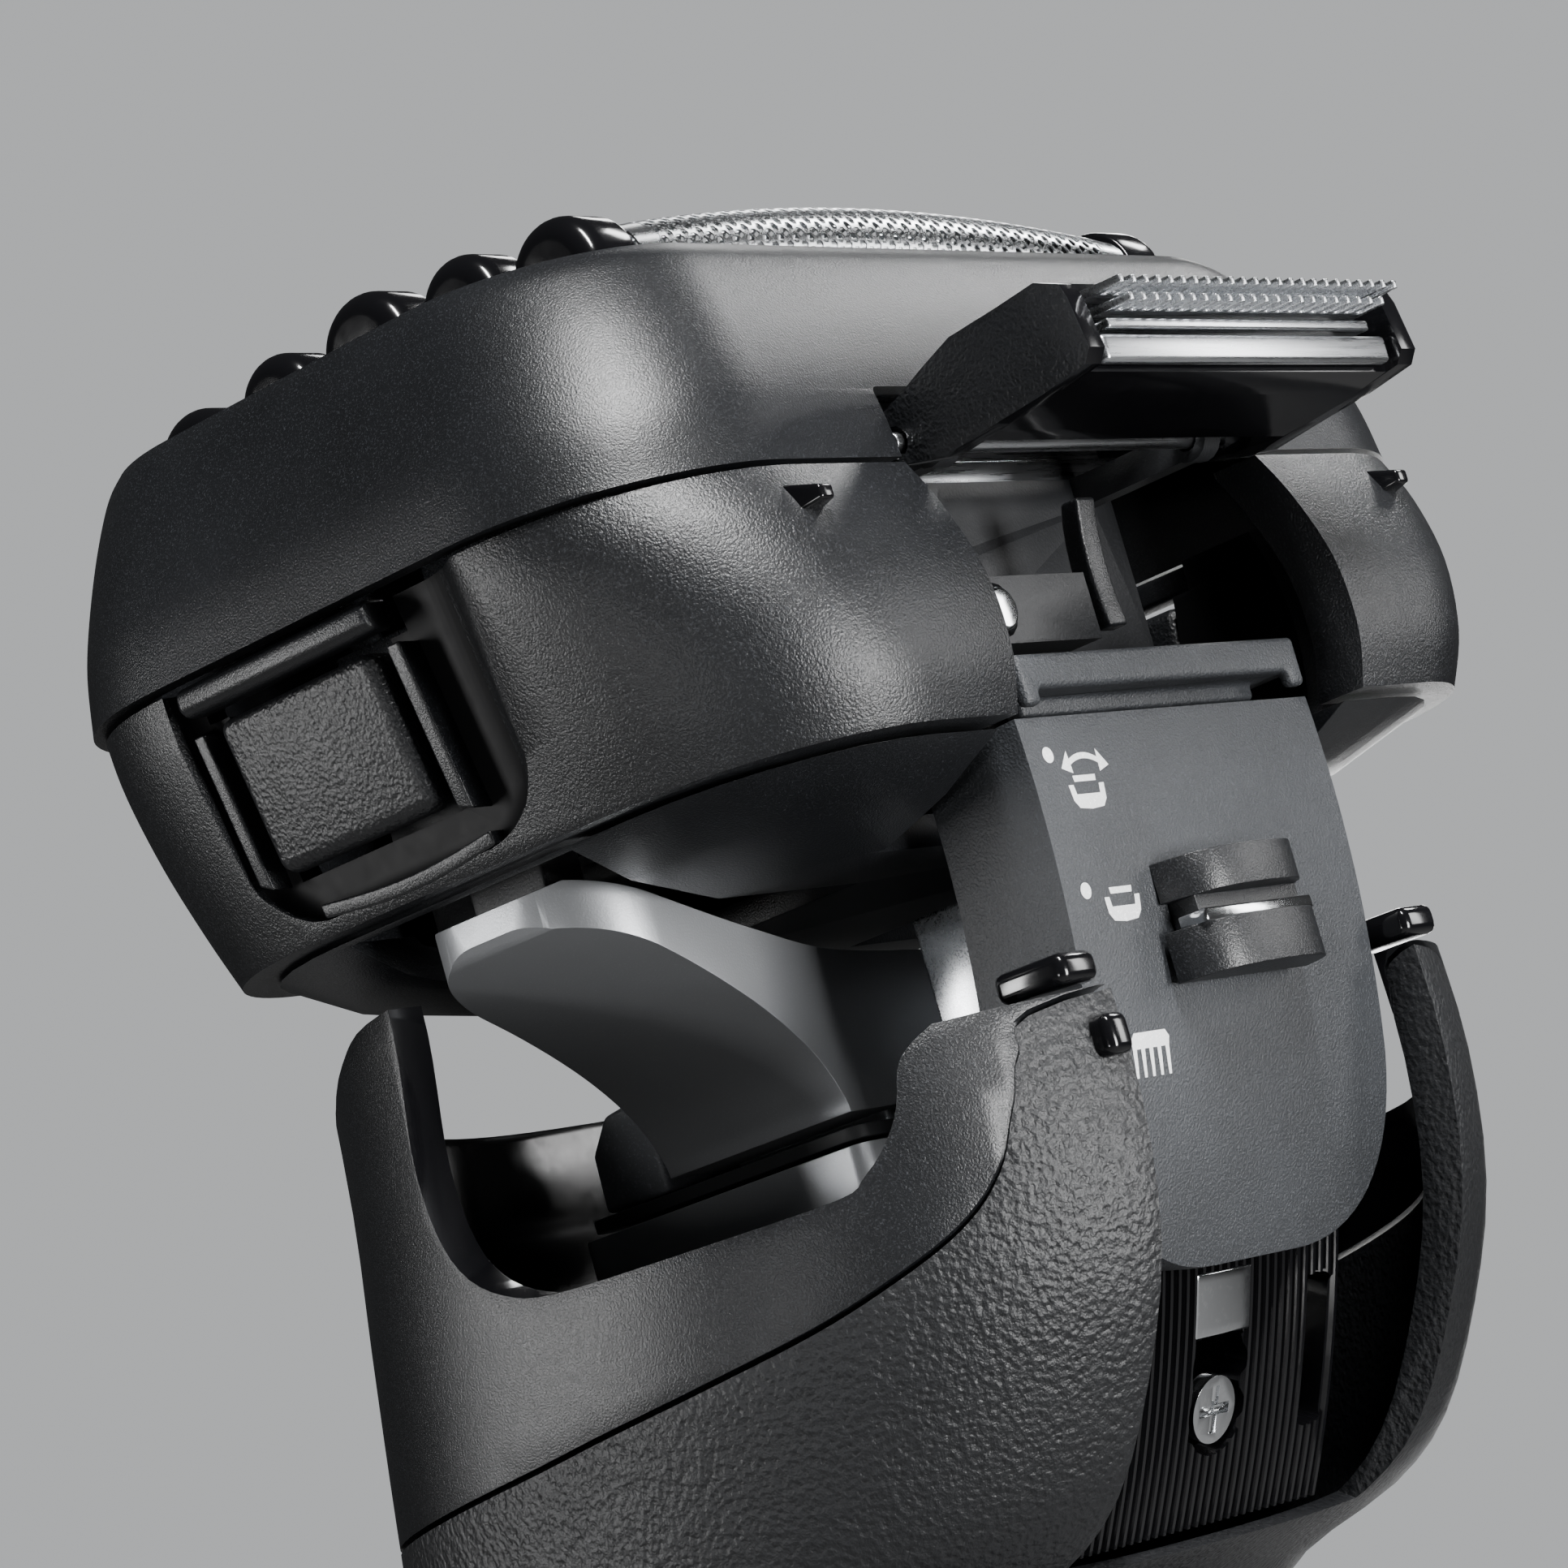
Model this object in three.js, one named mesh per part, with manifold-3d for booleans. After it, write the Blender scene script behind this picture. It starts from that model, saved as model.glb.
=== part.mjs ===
// Electric shaver with a five-foil head on a tilting yoke, a pop-up trimmer and a sliding selector.
// Millimetres, +Z up. +Y is the back, where the slider and the trimmer are, and +X is its left side.
// Places are measured from the slider's top bar (the datum) and the last lines stand the part on its base.
import * as THREE from 'three';
import { mergeVertices } from 'three/addons/utils/BufferGeometryUtils.js';
import Module from 'manifold-3d';

const wasm = await Module();
wasm.setup();

// Overall places
const baseDrop = 137;
const baseMiddleY = -34;

// Clearances
const gap = 0.3;
const runGap = 0.4;

// Handle: rows of height, half width, back and front. The grip's rows share the drop from its top
// to the base, and every row's half width is what it falls short of the widest place.
const wall = 2.4;
const handleHalf = 30;
const gripTop = -51;
const gripDrop = baseDrop + gripTop;
const gripRow = (share, short, back, front) => [gripTop - gripDrop * share, handleHalf - short, back, front];
const shoulderRow = (z, short, back, front) => [z, handleHalf - short, back, front];
const handleRows = [
  gripRow(1, 8.4, -19.8, -48.4),
  gripRow(0.97, 7.2, -19.6, -49.4),
  gripRow(0.78, 6.4, -21.0, -51.7),
  gripRow(0.43, 5.3, -22.4, -54.4),
  gripRow(0.13, 3.8, -22.3, -55.2),
  shoulderRow(gripTop, 2.4, -21.9, -55.1),
  shoulderRow(-46.6, 1.8, -20.8, -54.9),
  shoulderRow(-44.2, 1.5, -18.0, -54.7),
  shoulderRow(-42.0, 1.2, -10.2, -54.4),
  shoulderRow(-39.2, 0.9, -5.4, -53.9),
  shoulderRow(-34.0, 0.5, -1.4, -53.2),
  shoulderRow(-28.0, 0.1, 1.6, -52.2),
  shoulderRow(-21.0, 0, 2.9, -50.9),
  shoulderRow(-14.0, 0.3, 2.9, -49.7),
  shoulderRow(-5.0, 0.7, 2.8, -49.0),
];
const baseCapTop = -baseDrop + 3.8;
const rearRim = -15.3;
const trayTop = -22.9;
const trayThick = 1.8;
const panelHalf = 11.4;
const panelTop = -36;
const panelBottom = -baseDrop + 9;
const panelThick = 1.2;
const powerZ = -56;
const powerRadius = 5.6;
const powerProud = 0.5;
const powerThick = 2.6;
const displayHalf = 7.5;
const displayTop = -72;
const displayBottom = -98;
const inletHalf = [6, 3];
const inletDepth = 3.4;
const inletY = -41;
const cellRadius = 8.3;
const cellY = -39.6;
const boardHalf = 11;
const boardY = -29.2;
const contactY = -27;
const contactRadius = 0.7;
const contactSpan = 6;

// Slider that runs on an arc behind the handle
const arcRadius = 70;
const arcY = -70;
const arcZ = -5;
const sliderHalf = 12.6;
const channelHalf = sliderHalf + 0.7;
const sliderTop = -1.3;
const sliderBottom = -29.3;
const sliderThick = 1.6;
const flangeDepth = 6.6;
const sliderTravelDeg = 11.8;
const barHalf = sliderHalf - 0.6;
const knobZ = -12.4;
const barHeight = 1.85;
const ribbedThick = 1.5;
const railHalf = sliderHalf - 2.1;
const screwAngle = 0.475;

// Yoke and its collar
const yokeBack = -17;
const yokeFront = -30;
const foilHalfLength = 20.4;
const headEnd = 15.5;
const headHalf = foilHalfLength + headEnd;
const yokeReach = headHalf - 7.7;
const yokeBottom = -16.7;
const tongueHalf = 8.4;
const swingZ = -24.2;
const swingRoom = 1.6;
const collarHalf = 14;
const collarBack = -15.8;
const collarFront = -36.2;
const collarTop = -18.5;
const collarBottom = -22.6;
const sealTop = -17.5;
const tiltY = -23.5;
const tiltZ = 0.9;
const pinRadius = 1;
const lugInner = yokeReach - 5.2;
const lugOuter = yokeReach - 2.2;
const blockInner = lugInner - 3.4;
const blockOuter = lugOuter + 3.3;
const lugHalfDepth = 2.6;

// Head: each row is what it falls short of the widest half width, the back and the front
const headCorner = 12;
const headBack = -0.5;
const headFront = -46.3;
const frameBottom = 12.65;
const frameWall = 1.2;
const headRow = (z, side, back, front) => [z, headHalf - side, headBack - back, headFront + front];
const frameRows = [
  headRow(frameBottom, 0, 0, 0),
  headRow(16.5, 0.8, 0.4, 0.2),
  headRow(21.0, 2.5, 2.0, 0.9),
  headRow(24.6, 4.3, 4.0, 1.7),
  headRow(26.0, 5.4, 5.4, 2.3),
];
const cheekOuter = 14.2;
const notchHalf = cheekOuter + 1;
const notchTop = 16.5;
const housingWall = 1.8;
const housingRows = [
  headRow(-1.6, 4.5, -2.5, 1.7),
  headRow(1.5, 3.3, -3.3, 1.1),
  headRow(5.5, 2.0, -3.1, 0.5),
  headRow(9.5, 0.9, -1.7, 0.3),
  headRow(12.3, 0.6, -0.2, 0.3),
];
const coverRows = [
  headRow(-5.3, 15.9, 7.5, 8.3),
  headRow(-3.9, 9.9, 3.1, 5.1),
  headRow(-1.9, 5.9, -1.1, 3.3),
];
const coverThick = 1.5;
const bayHalf = Math.max(channelHalf + 1.7, cheekOuter + 0.8);
const bayFront = -8.8;
const buttonY = -26;
const buttonHalf = 5.75;
const buttonBottom = 1.9;
const buttonTop = 10.1;
const latchHalf = buttonHalf + 1.25;

// Foils, from back to front: middle, half width, crest
const foilRows = [
  ['rear', -11.3, 3.1, 30.3],
  ['rear_comb', -17.95, 2.8, 30.9],
  ['centre', -24.95, 3.2, 31.6],
  ['front_comb', -31.95, 2.8, 30.9],
  ['front', -38.6, 3.1, 30.3],
];
const foilArch = 132;
const foilSkin = 0.45;
const foilFoot = 24.2;
const capLength = 2.5;
const cutterDrop = 1.2;
const cutterHalfLength = foilHalfLength - 2.4;
const cutterFoot = 19.9;

// Trimmer
const trimY = -1.2;
const trimZ = 13.6;
const axleRadius = 0.55;
const bracketScrewX = 6.6;
const bracketScrewZ = 5.4;
const bracketScrewRadius = 1.2;
const cheekThick = 1.3;
const earOuter = 11.8;
const earInner = 10.4;
const combHalf = cheekOuter - cheekThick - 0.5;
const combTeeth = 24;

function look(color, roughness, metalness) {
  return new THREE.MeshStandardMaterial({ color, roughness, metalness });
}

const satin = look(0x17181a, 0.5, 0);
const grain = look(0x141517, 0.65, 0);
const gloss = look(0x0b0b0d, 0.12, 0);
const silver = look(0xa9abae, 0.35, 1);
const steel = look(0xc4c6c8, 0.25, 1);
const slate = look(0x2a2c2f, 0.6, 0);
const grey = look(0x6d6f72, 0.6, 0);
const lens = look(0x050507, 0.05, 0);
const green = look(0x1d5a34, 0.5, 0);
const wrap = look(0x2d4f7c, 0.4, 0);

// Booleans

function solid(geometry) {
  const bare = geometry.clone();
  bare.deleteAttribute('normal');
  bare.deleteAttribute('uv');
  const merged = mergeVertices(bare, 1e-4);
  return new wasm.Manifold(new wasm.Mesh({
    numProp: 3,
    vertProperties: new Float32Array(merged.attributes.position.array),
    triVerts: new Uint32Array(merged.index.array),
  }));
}

function surface(manifold) {
  const mesh = manifold.getMesh();
  const geometry = new THREE.BufferGeometry();
  geometry.setAttribute('position', new THREE.BufferAttribute(new Float32Array(mesh.vertProperties), 3));
  geometry.setIndex(new THREE.BufferAttribute(new Uint32Array(mesh.triVerts), 1));
  return geometry;
}

function cut(first, ...others) {
  return others.reduce((left, other) => left.subtract(other), first);
}

function join(first, ...others) {
  return others.reduce((left, other) => left.add(other), first);
}

const model = new THREE.Group();

function piece(name, shape, material) {
  const mesh = new THREE.Mesh(shape.isBufferGeometry ? shape : surface(shape), material);
  mesh.name = name;
  model.add(mesh);
}

// Basic solids

function block(x0, x1, y0, y1, z0, z1) {
  const box = new THREE.BoxGeometry(x1 - x0, y1 - y0, z1 - z0);
  return solid(box.translate((x0 + x1) / 2, (y0 + y1) / 2, (z0 + z1) / 2));
}

function rod(radius, from, to, sides = 20) {
  const start = new THREE.Vector3(...from);
  const end = new THREE.Vector3(...to);
  const span = end.clone().sub(start);
  const cylinder = new THREE.CylinderGeometry(radius, radius, span.length(), sides);
  const turn = new THREE.Quaternion().setFromUnitVectors(new THREE.Vector3(0, 1, 0), span.normalize());
  cylinder.applyQuaternion(turn);
  return solid(cylinder.translate(...start.add(end).multiplyScalar(0.5).toArray()));
}

function outline(points) {
  return new THREE.Shape(points.map(([a, b]) => new THREE.Vector2(a, b)));
}

function roundedPlan(halfA, halfB, radius) {
  const shape = new THREE.Shape();
  shape.moveTo(halfA - radius, -halfB);
  shape.absarc(halfA - radius, -halfB + radius, radius, -Math.PI / 2, 0);
  shape.absarc(halfA - radius, halfB - radius, radius, 0, Math.PI / 2);
  shape.absarc(-halfA + radius, halfB - radius, radius, Math.PI / 2, Math.PI);
  shape.absarc(-halfA + radius, -halfB + radius, radius, Math.PI, Math.PI * 1.5);
  shape.closePath();
  return shape;
}

// A side profile, drawn as (y, z), pulled from x0 to x1
function acrossX(shape, x0, x1, curveSegments = 6, steps = 1) {
  const geometry = new THREE.ExtrudeGeometry(shape, {
    depth: x1 - x0, bevelEnabled: false, curveSegments, steps,
  });
  const basis = new THREE.Matrix4().makeBasis(
    new THREE.Vector3(0, 1, 0), new THREE.Vector3(0, 0, 1), new THREE.Vector3(1, 0, 0));
  return geometry.applyMatrix4(basis).translate(x0, 0, 0);
}

// A front profile, drawn as (x, z), pulled from y0 to y1
function alongY(shape, y0, y1, curveSegments = 6) {
  const geometry = new THREE.ExtrudeGeometry(shape, { depth: y1 - y0, bevelEnabled: false, curveSegments });
  const basis = new THREE.Matrix4().makeBasis(
    new THREE.Vector3(1, 0, 0), new THREE.Vector3(0, 0, 1), new THREE.Vector3(0, -1, 0));
  return geometry.applyMatrix4(basis).translate(0, y1, 0);
}

// A plan outline, drawn as (x, y), pulled up from z0 to z1
function upZ(shape, z0, z1, curveSegments = 6) {
  const geometry = new THREE.ExtrudeGeometry(shape, { depth: z1 - z0, bevelEnabled: false, curveSegments });
  return geometry.translate(0, 0, z0);
}

// Tapered solids: one unit outline, sized and placed at each row's height

function unitOval(power, count) {
  const points = [];
  for (let i = 0; i < count; i += 1) {
    const angle = (i + 0.5) / count * Math.PI * 2;
    const c = Math.cos(angle);
    const s = Math.sin(angle);
    points.push([
      Math.sign(c) * Math.abs(c) ** (2 / power),
      Math.sign(s) * Math.abs(s) ** (2 / power),
    ]);
  }
  return outline(points);
}

const ovalSection = unitOval(2.5, 28);

function unitRounded(radiusX, radiusY, perCorner) {
  const points = [];
  for (const [turn, sx, sy] of [[0, 1, 1], [1, -1, 1], [2, -1, -1], [3, 1, -1]]) {
    for (let i = 0; i <= perCorner; i += 1) {
      const angle = (turn + i / perCorner) * Math.PI / 2;
      points.push([
        sx * (1 - radiusX) + radiusX * Math.cos(angle),
        sy * (1 - radiusY) + radiusY * Math.sin(angle),
      ]);
    }
  }
  return outline(points);
}

const headSection = unitRounded(headCorner / headHalf, headCorner / ((headBack - headFront) / 2), 7);

function tapered(section, rows, inset = 0) {
  const geometry = new THREE.ExtrudeGeometry(section, {
    depth: rows.length - 1, steps: rows.length - 1, bevelEnabled: false,
  });
  const position = geometry.attributes.position;
  for (let i = 0; i < position.count; i += 1) {
    const [z, half, back, front] = rows[Math.round(position.getZ(i))];
    const halfDepth = (back - front) / 2 - inset;
    position.setXYZ(i,
      position.getX(i) * (half - inset),
      (back + front) / 2 + position.getY(i) * halfDepth,
      z);
  }
  return solid(geometry);
}

function stretchedRows(rows, below, above) {
  const [first, ...rest] = rows;
  const last = rest.pop();
  return [[first[0] - below, ...first.slice(1)], ...rest, [last[0] + above, ...last.slice(1)]];
}

// Handle shells

const seamLine = [
  [12, -14.4], [0.6, -15.4], [-0.8, -17.5], [-1.3, -19.7], [-2.4, -22.8], [-4.2, -24.9],
  [-7, -26.4], [-11, -27.7], [-17, -28.7], [-24, -29.5], [-33, -30.4], [-60, -32.4],
];
const mouthLine = [
  [-31.2, 2], [-31.1, -7], [-31.9, -14], [-30.6, -18.8], [-27.4, -21.4], [-22.4, -22.3],
  [-9.2, -22.3], [-6.6, -21.4], [-5, -19.2], [-4.3, -16.6], [-3, rearRim], [12, rearRim], [12, 2],
];
const frontRimLine = [[-60, 5], [-60, -11.5], [-44, -10], [-38, -7.4], [-34.5, -6], [-30, -5.6], [-30, 5]];

function arcPoint(radius, angle) {
  return [arcY + radius * Math.cos(angle), arcZ - radius * Math.sin(angle)];
}

function arcAngle(z, radius = arcRadius) {
  return Math.asin((arcZ - z) / radius);
}

// A strip between two radii of the slider's arc, from one angle to another
function arcStrip(inner, outer, from, to, steps = 10) {
  const outside = [];
  const inside = [];
  for (let i = 0; i <= steps; i += 1) {
    const angle = from + (to - from) * i / steps;
    outside.push(arcPoint(outer, angle));
    inside.unshift(arcPoint(inner, angle));
  }
  return outline([...outside, ...inside]);
}

const sliderTravel = sliderTravelDeg * Math.PI / 180;
const sliderInner = arcRadius - flangeDepth;
const channelRadius = arcRadius - sliderThick - runGap;
const sliderSweepFrom = arcAngle(sliderTop) - 0.03;
const sliderSweepTo = arcAngle(sliderBottom) + sliderTravel + 0.012;

function channelCut() {
  const half = channelHalf;
  const inside = channelRadius - ribbedThick - gap;
  const deep = arcStrip(inside, arcRadius + 20, sliderSweepFrom - 0.3, sliderSweepTo);
  return solid(acrossX(deep, -half, half));
}

function belowSeam(drop) {
  const points = seamLine.map(([y, z]) => [y, z - drop]);
  return solid(acrossX(outline([...points, [-60, -baseDrop - 13], [12, -baseDrop - 13]]), -40, 40));
}

function panelPrism(half, top, bottom) {
  return block(-half, half, -70, -40, bottom, top);
}

const handleOuter = tapered(ovalSection, handleRows);
const handleInner = tapered(ovalSection, stretchedRows(handleRows, 2, 4), wall);
const handleTube = cut(handleOuter, handleInner, channelCut());
const panelBed = tapered(ovalSection, handleRows, panelThick + gap);
const aboveCap = block(-50, 50, -80, 30, baseCapTop + gap, 20);
const powerHole = rod(powerRadius + gap, [0, -70, powerZ], [0, -40, powerZ], 28);

function topShell() {
  const mouth = solid(acrossX(outline(mouthLine), -50, 50));
  const rim = solid(acrossX(outline(frontRimLine), -50, 50));
  return cut(handleTube, mouth, rim, belowSeam(0));
}

function gripShell() {
  const bed = cut(panelPrism(panelHalf + gap, panelTop + gap, panelBottom - gap), panelBed);
  const lower = handleTube.intersect(belowSeam(gap)).intersect(aboveCap);
  const mouth = solid(acrossX(outline(mouthLine), -50, 50));
  return cut(lower, mouth, bed, powerHole);
}

function frontPanel() {
  const skin = cut(handleOuter, tapered(ovalSection, handleRows, panelThick));
  const window = panelPrism(displayHalf + gap, displayTop + gap, displayBottom - gap);
  return cut(skin.intersect(panelPrism(panelHalf, panelTop, panelBottom)), window, powerHole);
}

function displayWindow() {
  const skin = cut(handleOuter, tapered(ovalSection, handleRows, panelThick));
  return skin.intersect(panelPrism(displayHalf, displayTop, displayBottom));
}

function handleFrontAt(z) {
  const above = handleRows.findIndex((row) => row[0] > z);
  const [low, high] = [handleRows[above - 1], handleRows[above]];
  const share = (z - low[0]) / (high[0] - low[0]);
  return low[3] + (high[3] - low[3]) * share;
}

function powerButton() {
  const face = handleFrontAt(powerZ) - powerProud;
  return rod(powerRadius, [0, face, powerZ], [0, face + powerThick, powerZ], 28);
}

function baseCap() {
  const body = handleOuter.intersect(block(-50, 50, -80, 30, -baseDrop - 1, baseCapTop));
  const pocket = solid(upZ(roundedPlan(...inletHalf, 2.4), 0, inletDepth)
    .translate(0, inletY, -baseDrop));
  const contacts = [-contactSpan, contactSpan].map((x) => {
    return rod(contactRadius + gap, [x, contactY, -baseDrop - 1], [x, contactY, baseCapTop + 1], 14);
  });
  return cut(body, pocket, ...contacts);
}

function contactPin(x) {
  return rod(contactRadius, [x, contactY, -baseDrop + gap], [x, contactY, baseCapTop + 2], 14);
}

// Guide parts inside the handle's back

function guidePanel() {
  const strip = arcStrip(channelRadius - ribbedThick, channelRadius, 0.17, sliderSweepTo - 0.006, 12);
  const plate = solid(acrossX(strip, -railHalf, railHalf));
  const slotStrip = arcStrip(channelRadius - 4, channelRadius + 2, 0.4, 0.5, 4);
  const slots = [1.9 - railHalf, railHalf - 1.9].map((x) => solid(acrossX(slotStrip, x - 1.1, x + 1.1)));
  const middle = arcPoint(channelRadius, screwAngle);
  const recess = rod(2.3, radial(middle, -3), radial(middle, 3), 20);
  const troughs = [-1, 1].map((side) => {
    const floor = [side * (railHalf - 0.8), side * (channelHalf - gap)].sort((a, b) => a - b);
    const rib = [side * (railHalf - 0.8), side * railHalf].sort((a, b) => a - b);
    const deepest = sliderInner - 2;
    const low = solid(acrossX(arcStrip(deepest, deepest + 1.2, 0.17, 0.42, 6), ...floor));
    return join(low, solid(acrossX(arcStrip(deepest + 0.1, channelRadius - 0.1, 0.17, 0.42, 6), ...rib)));
  });
  return cut(join(plate, ...troughs), ...slots, recess);
}

function radial([y, z], distance) {
  const length = Math.hypot(y - arcY, z - arcZ);
  const scale = (length + distance) / length;
  return [0, arcY + (y - arcY) * scale, arcZ + (z - arcZ) * scale];
}

function panelScrew() {
  const middle = arcPoint(channelRadius, screwAngle);
  const head = rod(1.8, radial(middle, -0.9), radial(middle, -0.1), 18);
  const shank = rod(0.9, radial(middle, -5), radial(middle, -0.5), 12);
  return join(head, shank);
}

function guideBlock() {
  const shape = outline([[-12.4, -15.6], [-7.8, -15.6], [-7.8, -9.4], [-9.2, -8.2], [-12.4, -8.2]]);
  return solid(acrossX(shape, 3.2 - sliderHalf, sliderHalf - 3.2));
}

function rimTab(side) {
  const inner = side * (channelHalf + 0.1);
  const outer = side * (channelHalf + 3.1);
  return block(Math.min(inner, outer), Math.max(inner, outer), -3.2, 1.3, rearRim + gap, rearRim + 1.9);
}

// Room for the yoke's tongue and its swing, through everything around the neck
function neckOpening(z0, z1) {
  const half = tongueHalf + swingRoom;
  return block(-half, half, yokeFront - 0.6, yokeBack + 0.6, z0, z1);
}

function neckTray() {
  const inside = tapered(ovalSection, handleRows, wall + gap);
  const slab = inside.intersect(block(-40, 40, -60, -14.6, trayTop - trayThick, trayTop));
  const opening = neckOpening(-30, -10);
  const bearings = [yokeFront - 2.6, yokeBack + 1].map((y) => {
    return block(-3, 3, y, y + 1.6, trayTop - 4, trayTop - 0.1);
  });
  const hole = rod(pinRadius + 0.1, [0, -40, swingZ], [0, -10, swingZ], 16);
  return cut(join(cut(slab, opening), ...bearings), hole);
}

function swingPin() {
  return rod(pinRadius, [0, yokeFront - 2.4, swingZ], [0, yokeBack + 2.4, swingZ], 16);
}

function collarRing(halfX, back, front, z0, z1, radius) {
  const middle = (back + front) / 2;
  const outer = upZ(roundedPlan(halfX, (back - front) / 2, radius), z0, z1).translate(0, middle, 0);
  const opening = neckOpening(z0 - 1, z1 + 1);
  return cut(solid(outer), opening);
}

function neckBlock() {
  const top = sealTop + gap;
  const shape = outline([[-36, top], [-31.2, top], [-31.2, -11.8], [-34.4, -12.2], [-35.9, -14]]);
  return solid(acrossX(shape, -11.6, 11.6));
}

function battery() {
  return rod(cellRadius, [0, cellY, -baseDrop + 15], [0, cellY, powerZ - 4], 24);
}

function circuitBoard() {
  return block(-boardHalf, boardHalf, boardY, boardY + 1.4, -baseDrop + 21, gripTop + 1);
}

// Slider

function sliderPlate() {
  const from = arcAngle(sliderTop);
  const to = arcAngle(sliderBottom);
  const strip = arcStrip(arcRadius - sliderThick, arcRadius, from, to, 12);
  const skin = solid(acrossX(strip, -sliderHalf, sliderHalf));
  const flangeStrip = arcStrip(sliderInner, arcRadius - 0.5, from, from + 0.225, 6);
  const flanges = [-1, 1].map((side) => {
    const edges = [side * sliderHalf, side * (sliderHalf - 1.5)].sort((a, b) => a - b);
    return solid(acrossX(flangeStrip, ...edges));
  });
  const corner = 9;
  const mask = new THREE.Shape();
  mask.moveTo(-sliderHalf, 4);
  mask.lineTo(-sliderHalf, sliderBottom + corner);
  mask.quadraticCurveTo(-sliderHalf + 0.4, sliderBottom, -sliderHalf + corner, sliderBottom);
  mask.lineTo(sliderHalf - corner, sliderBottom);
  mask.quadraticCurveTo(sliderHalf - 0.4, sliderBottom, sliderHalf, sliderBottom + corner);
  mask.lineTo(sliderHalf, 4);
  mask.closePath();
  return join(skin, ...flanges).intersect(solid(alongY(mask, -20, 10, 8)));
}

function sliderBar() {
  const bar = block(-barHalf, barHalf, -3, 0.6, 0, barHeight);
  const hooks = [-1, 1].map((side) => {
    const edges = [side * barHalf, side * (barHalf - 1.2)].sort((a, b) => a - b);
    return block(...edges, -0.2, 0.6, -0.8, 0.5);
  });
  const web = block(-barHalf + 2, barHalf - 2, -2.6, -1.4, -0.9, 0.5);
  return join(bar, ...hooks, web);
}

function knobCap(z0, z1, half, proud) {
  const shape = new THREE.Shape();
  shape.moveTo(-half, 0);
  shape.quadraticCurveTo(-half + 0.6, proud * 0.75, -half * 0.55, proud * 0.9);
  shape.quadraticCurveTo(0, proud * 1.08, half * 0.55, proud * 0.9);
  shape.quadraticCurveTo(half - 0.6, proud * 0.75, half, 0);
  shape.closePath();
  return solid(upZ(shape, z0, z1, 5));
}

function sliderKnob() {
  const rise = 3.2;
  const upper = knobCap(knobZ + 0.9, knobZ + 3, 5.2, rise);
  const lower = knobCap(knobZ - 3.2, knobZ - 0.6, 5.6, rise);
  const stem = block(-4.4, 4.4, -0.1, 1.6, knobZ - 0.8, knobZ + 1);
  return join(upper, lower, stem).translate([0, -0.15, 0]);
}

// Yoke that carries the head

function yoke() {
  const half = [
    [tongueHalf, yokeBottom - 0.01], [12.6, yokeBottom], [12.9, -15.6], [14.3, -13.3], [17, -10.8],
    [yokeReach - 7.4, -8.3], [yokeReach - 3.2, -6.1], [yokeReach - 0.6, -4.9], [yokeReach, -4.3],
    [yokeReach - 0.1, -2.9], [yokeReach - 1.2, -2.7], [yokeReach - 6.2, -4.6], [16, -6.7], [10, -8.3],
  ];
  const mirrored = half.map(([x, z]) => [-x, z]).reverse();
  const wings = solid(alongY(outline([...half, ...mirrored]), yokeFront, yokeBack));
  const corner = 2.4;
  const plan = roundedPlan(yokeReach, (yokeBack - yokeFront) / 2, corner);
  const rounded = solid(upZ(plan, -30, 10).translate(0, (yokeBack + yokeFront) / 2, 0));
  const tongue = block(-tongueHalf, tongueHalf, yokeFront + 1, yokeBack - 1, swingZ - 2.2, yokeBottom + 2);
  const lugs = [-1, 1].map((side) => {
    const edges = [side * lugInner, side * lugOuter].sort((a, b) => a - b);
    const foot = block(...edges, tiltY - lugHalfDepth, tiltY + lugHalfDepth, -4.4, tiltZ);
    const eye = rod(lugHalfDepth - 0.4, [edges[0], tiltY, tiltZ], [edges[1], tiltY, tiltZ], 20);
    const bore = rod(pinRadius + 0.1, [edges[0] - 1, tiltY, tiltZ], [edges[1] + 1, tiltY, tiltZ], 16);
    return cut(join(foot, eye), bore);
  });
  const bore = rod(pinRadius + 0.15, [0, yokeFront - 2, swingZ], [0, yokeBack + 2, swingZ], 16);
  return cut(join(wings.intersect(rounded), tongue, ...lugs), bore);
}

function bearingBlock(side) {
  const edges = (a, b) => [side * a, side * b].sort((p, q) => p - q);
  const body = block(...edges(blockInner, blockOuter), tiltY - 3.6, tiltY + 3.6, -1, 4.6);
  const slot = block(...edges(lugInner - 0.7, lugOuter + 0.7), tiltY - 6, tiltY + 6, -2, 3.6);
  const ends = [blockInner - 1, blockOuter + 1].map((x) => [side * x, tiltY, tiltZ]);
  const hole = rod(pinRadius + 0.12, ...ends, 14);
  return cut(body, slot, hole);
}

function tiltPin(side) {
  const ends = [blockInner + 0.4, blockOuter - 0.3].map((x) => [side * x, tiltY, tiltZ]);
  return rod(pinRadius, ...ends, 16);
}

// Head housing

function headHousing() {
  const outer = tapered(headSection, housingRows);
  const inner = tapered(headSection, stretchedRows(housingRows, 2, 2), housingWall);
  const bay = block(-bayHalf, bayHalf, -9, 8, -6, 16);
  const windows = [-1, 1].map((side) => {
    const edges = [side * (headHalf - 10), side * (headHalf + 4)].sort((a, b) => a - b);
    const reach = buttonHalf + gap;
    const low = block(...edges, buttonY - reach, buttonY + reach, buttonBottom - gap, 14);
    const high = block(...edges, buttonY - latchHalf - gap, buttonY + latchHalf + gap, buttonTop + 0.4, 14);
    return join(low, high);
  });
  return cut(outer, inner, bay, ...windows);
}

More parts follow.
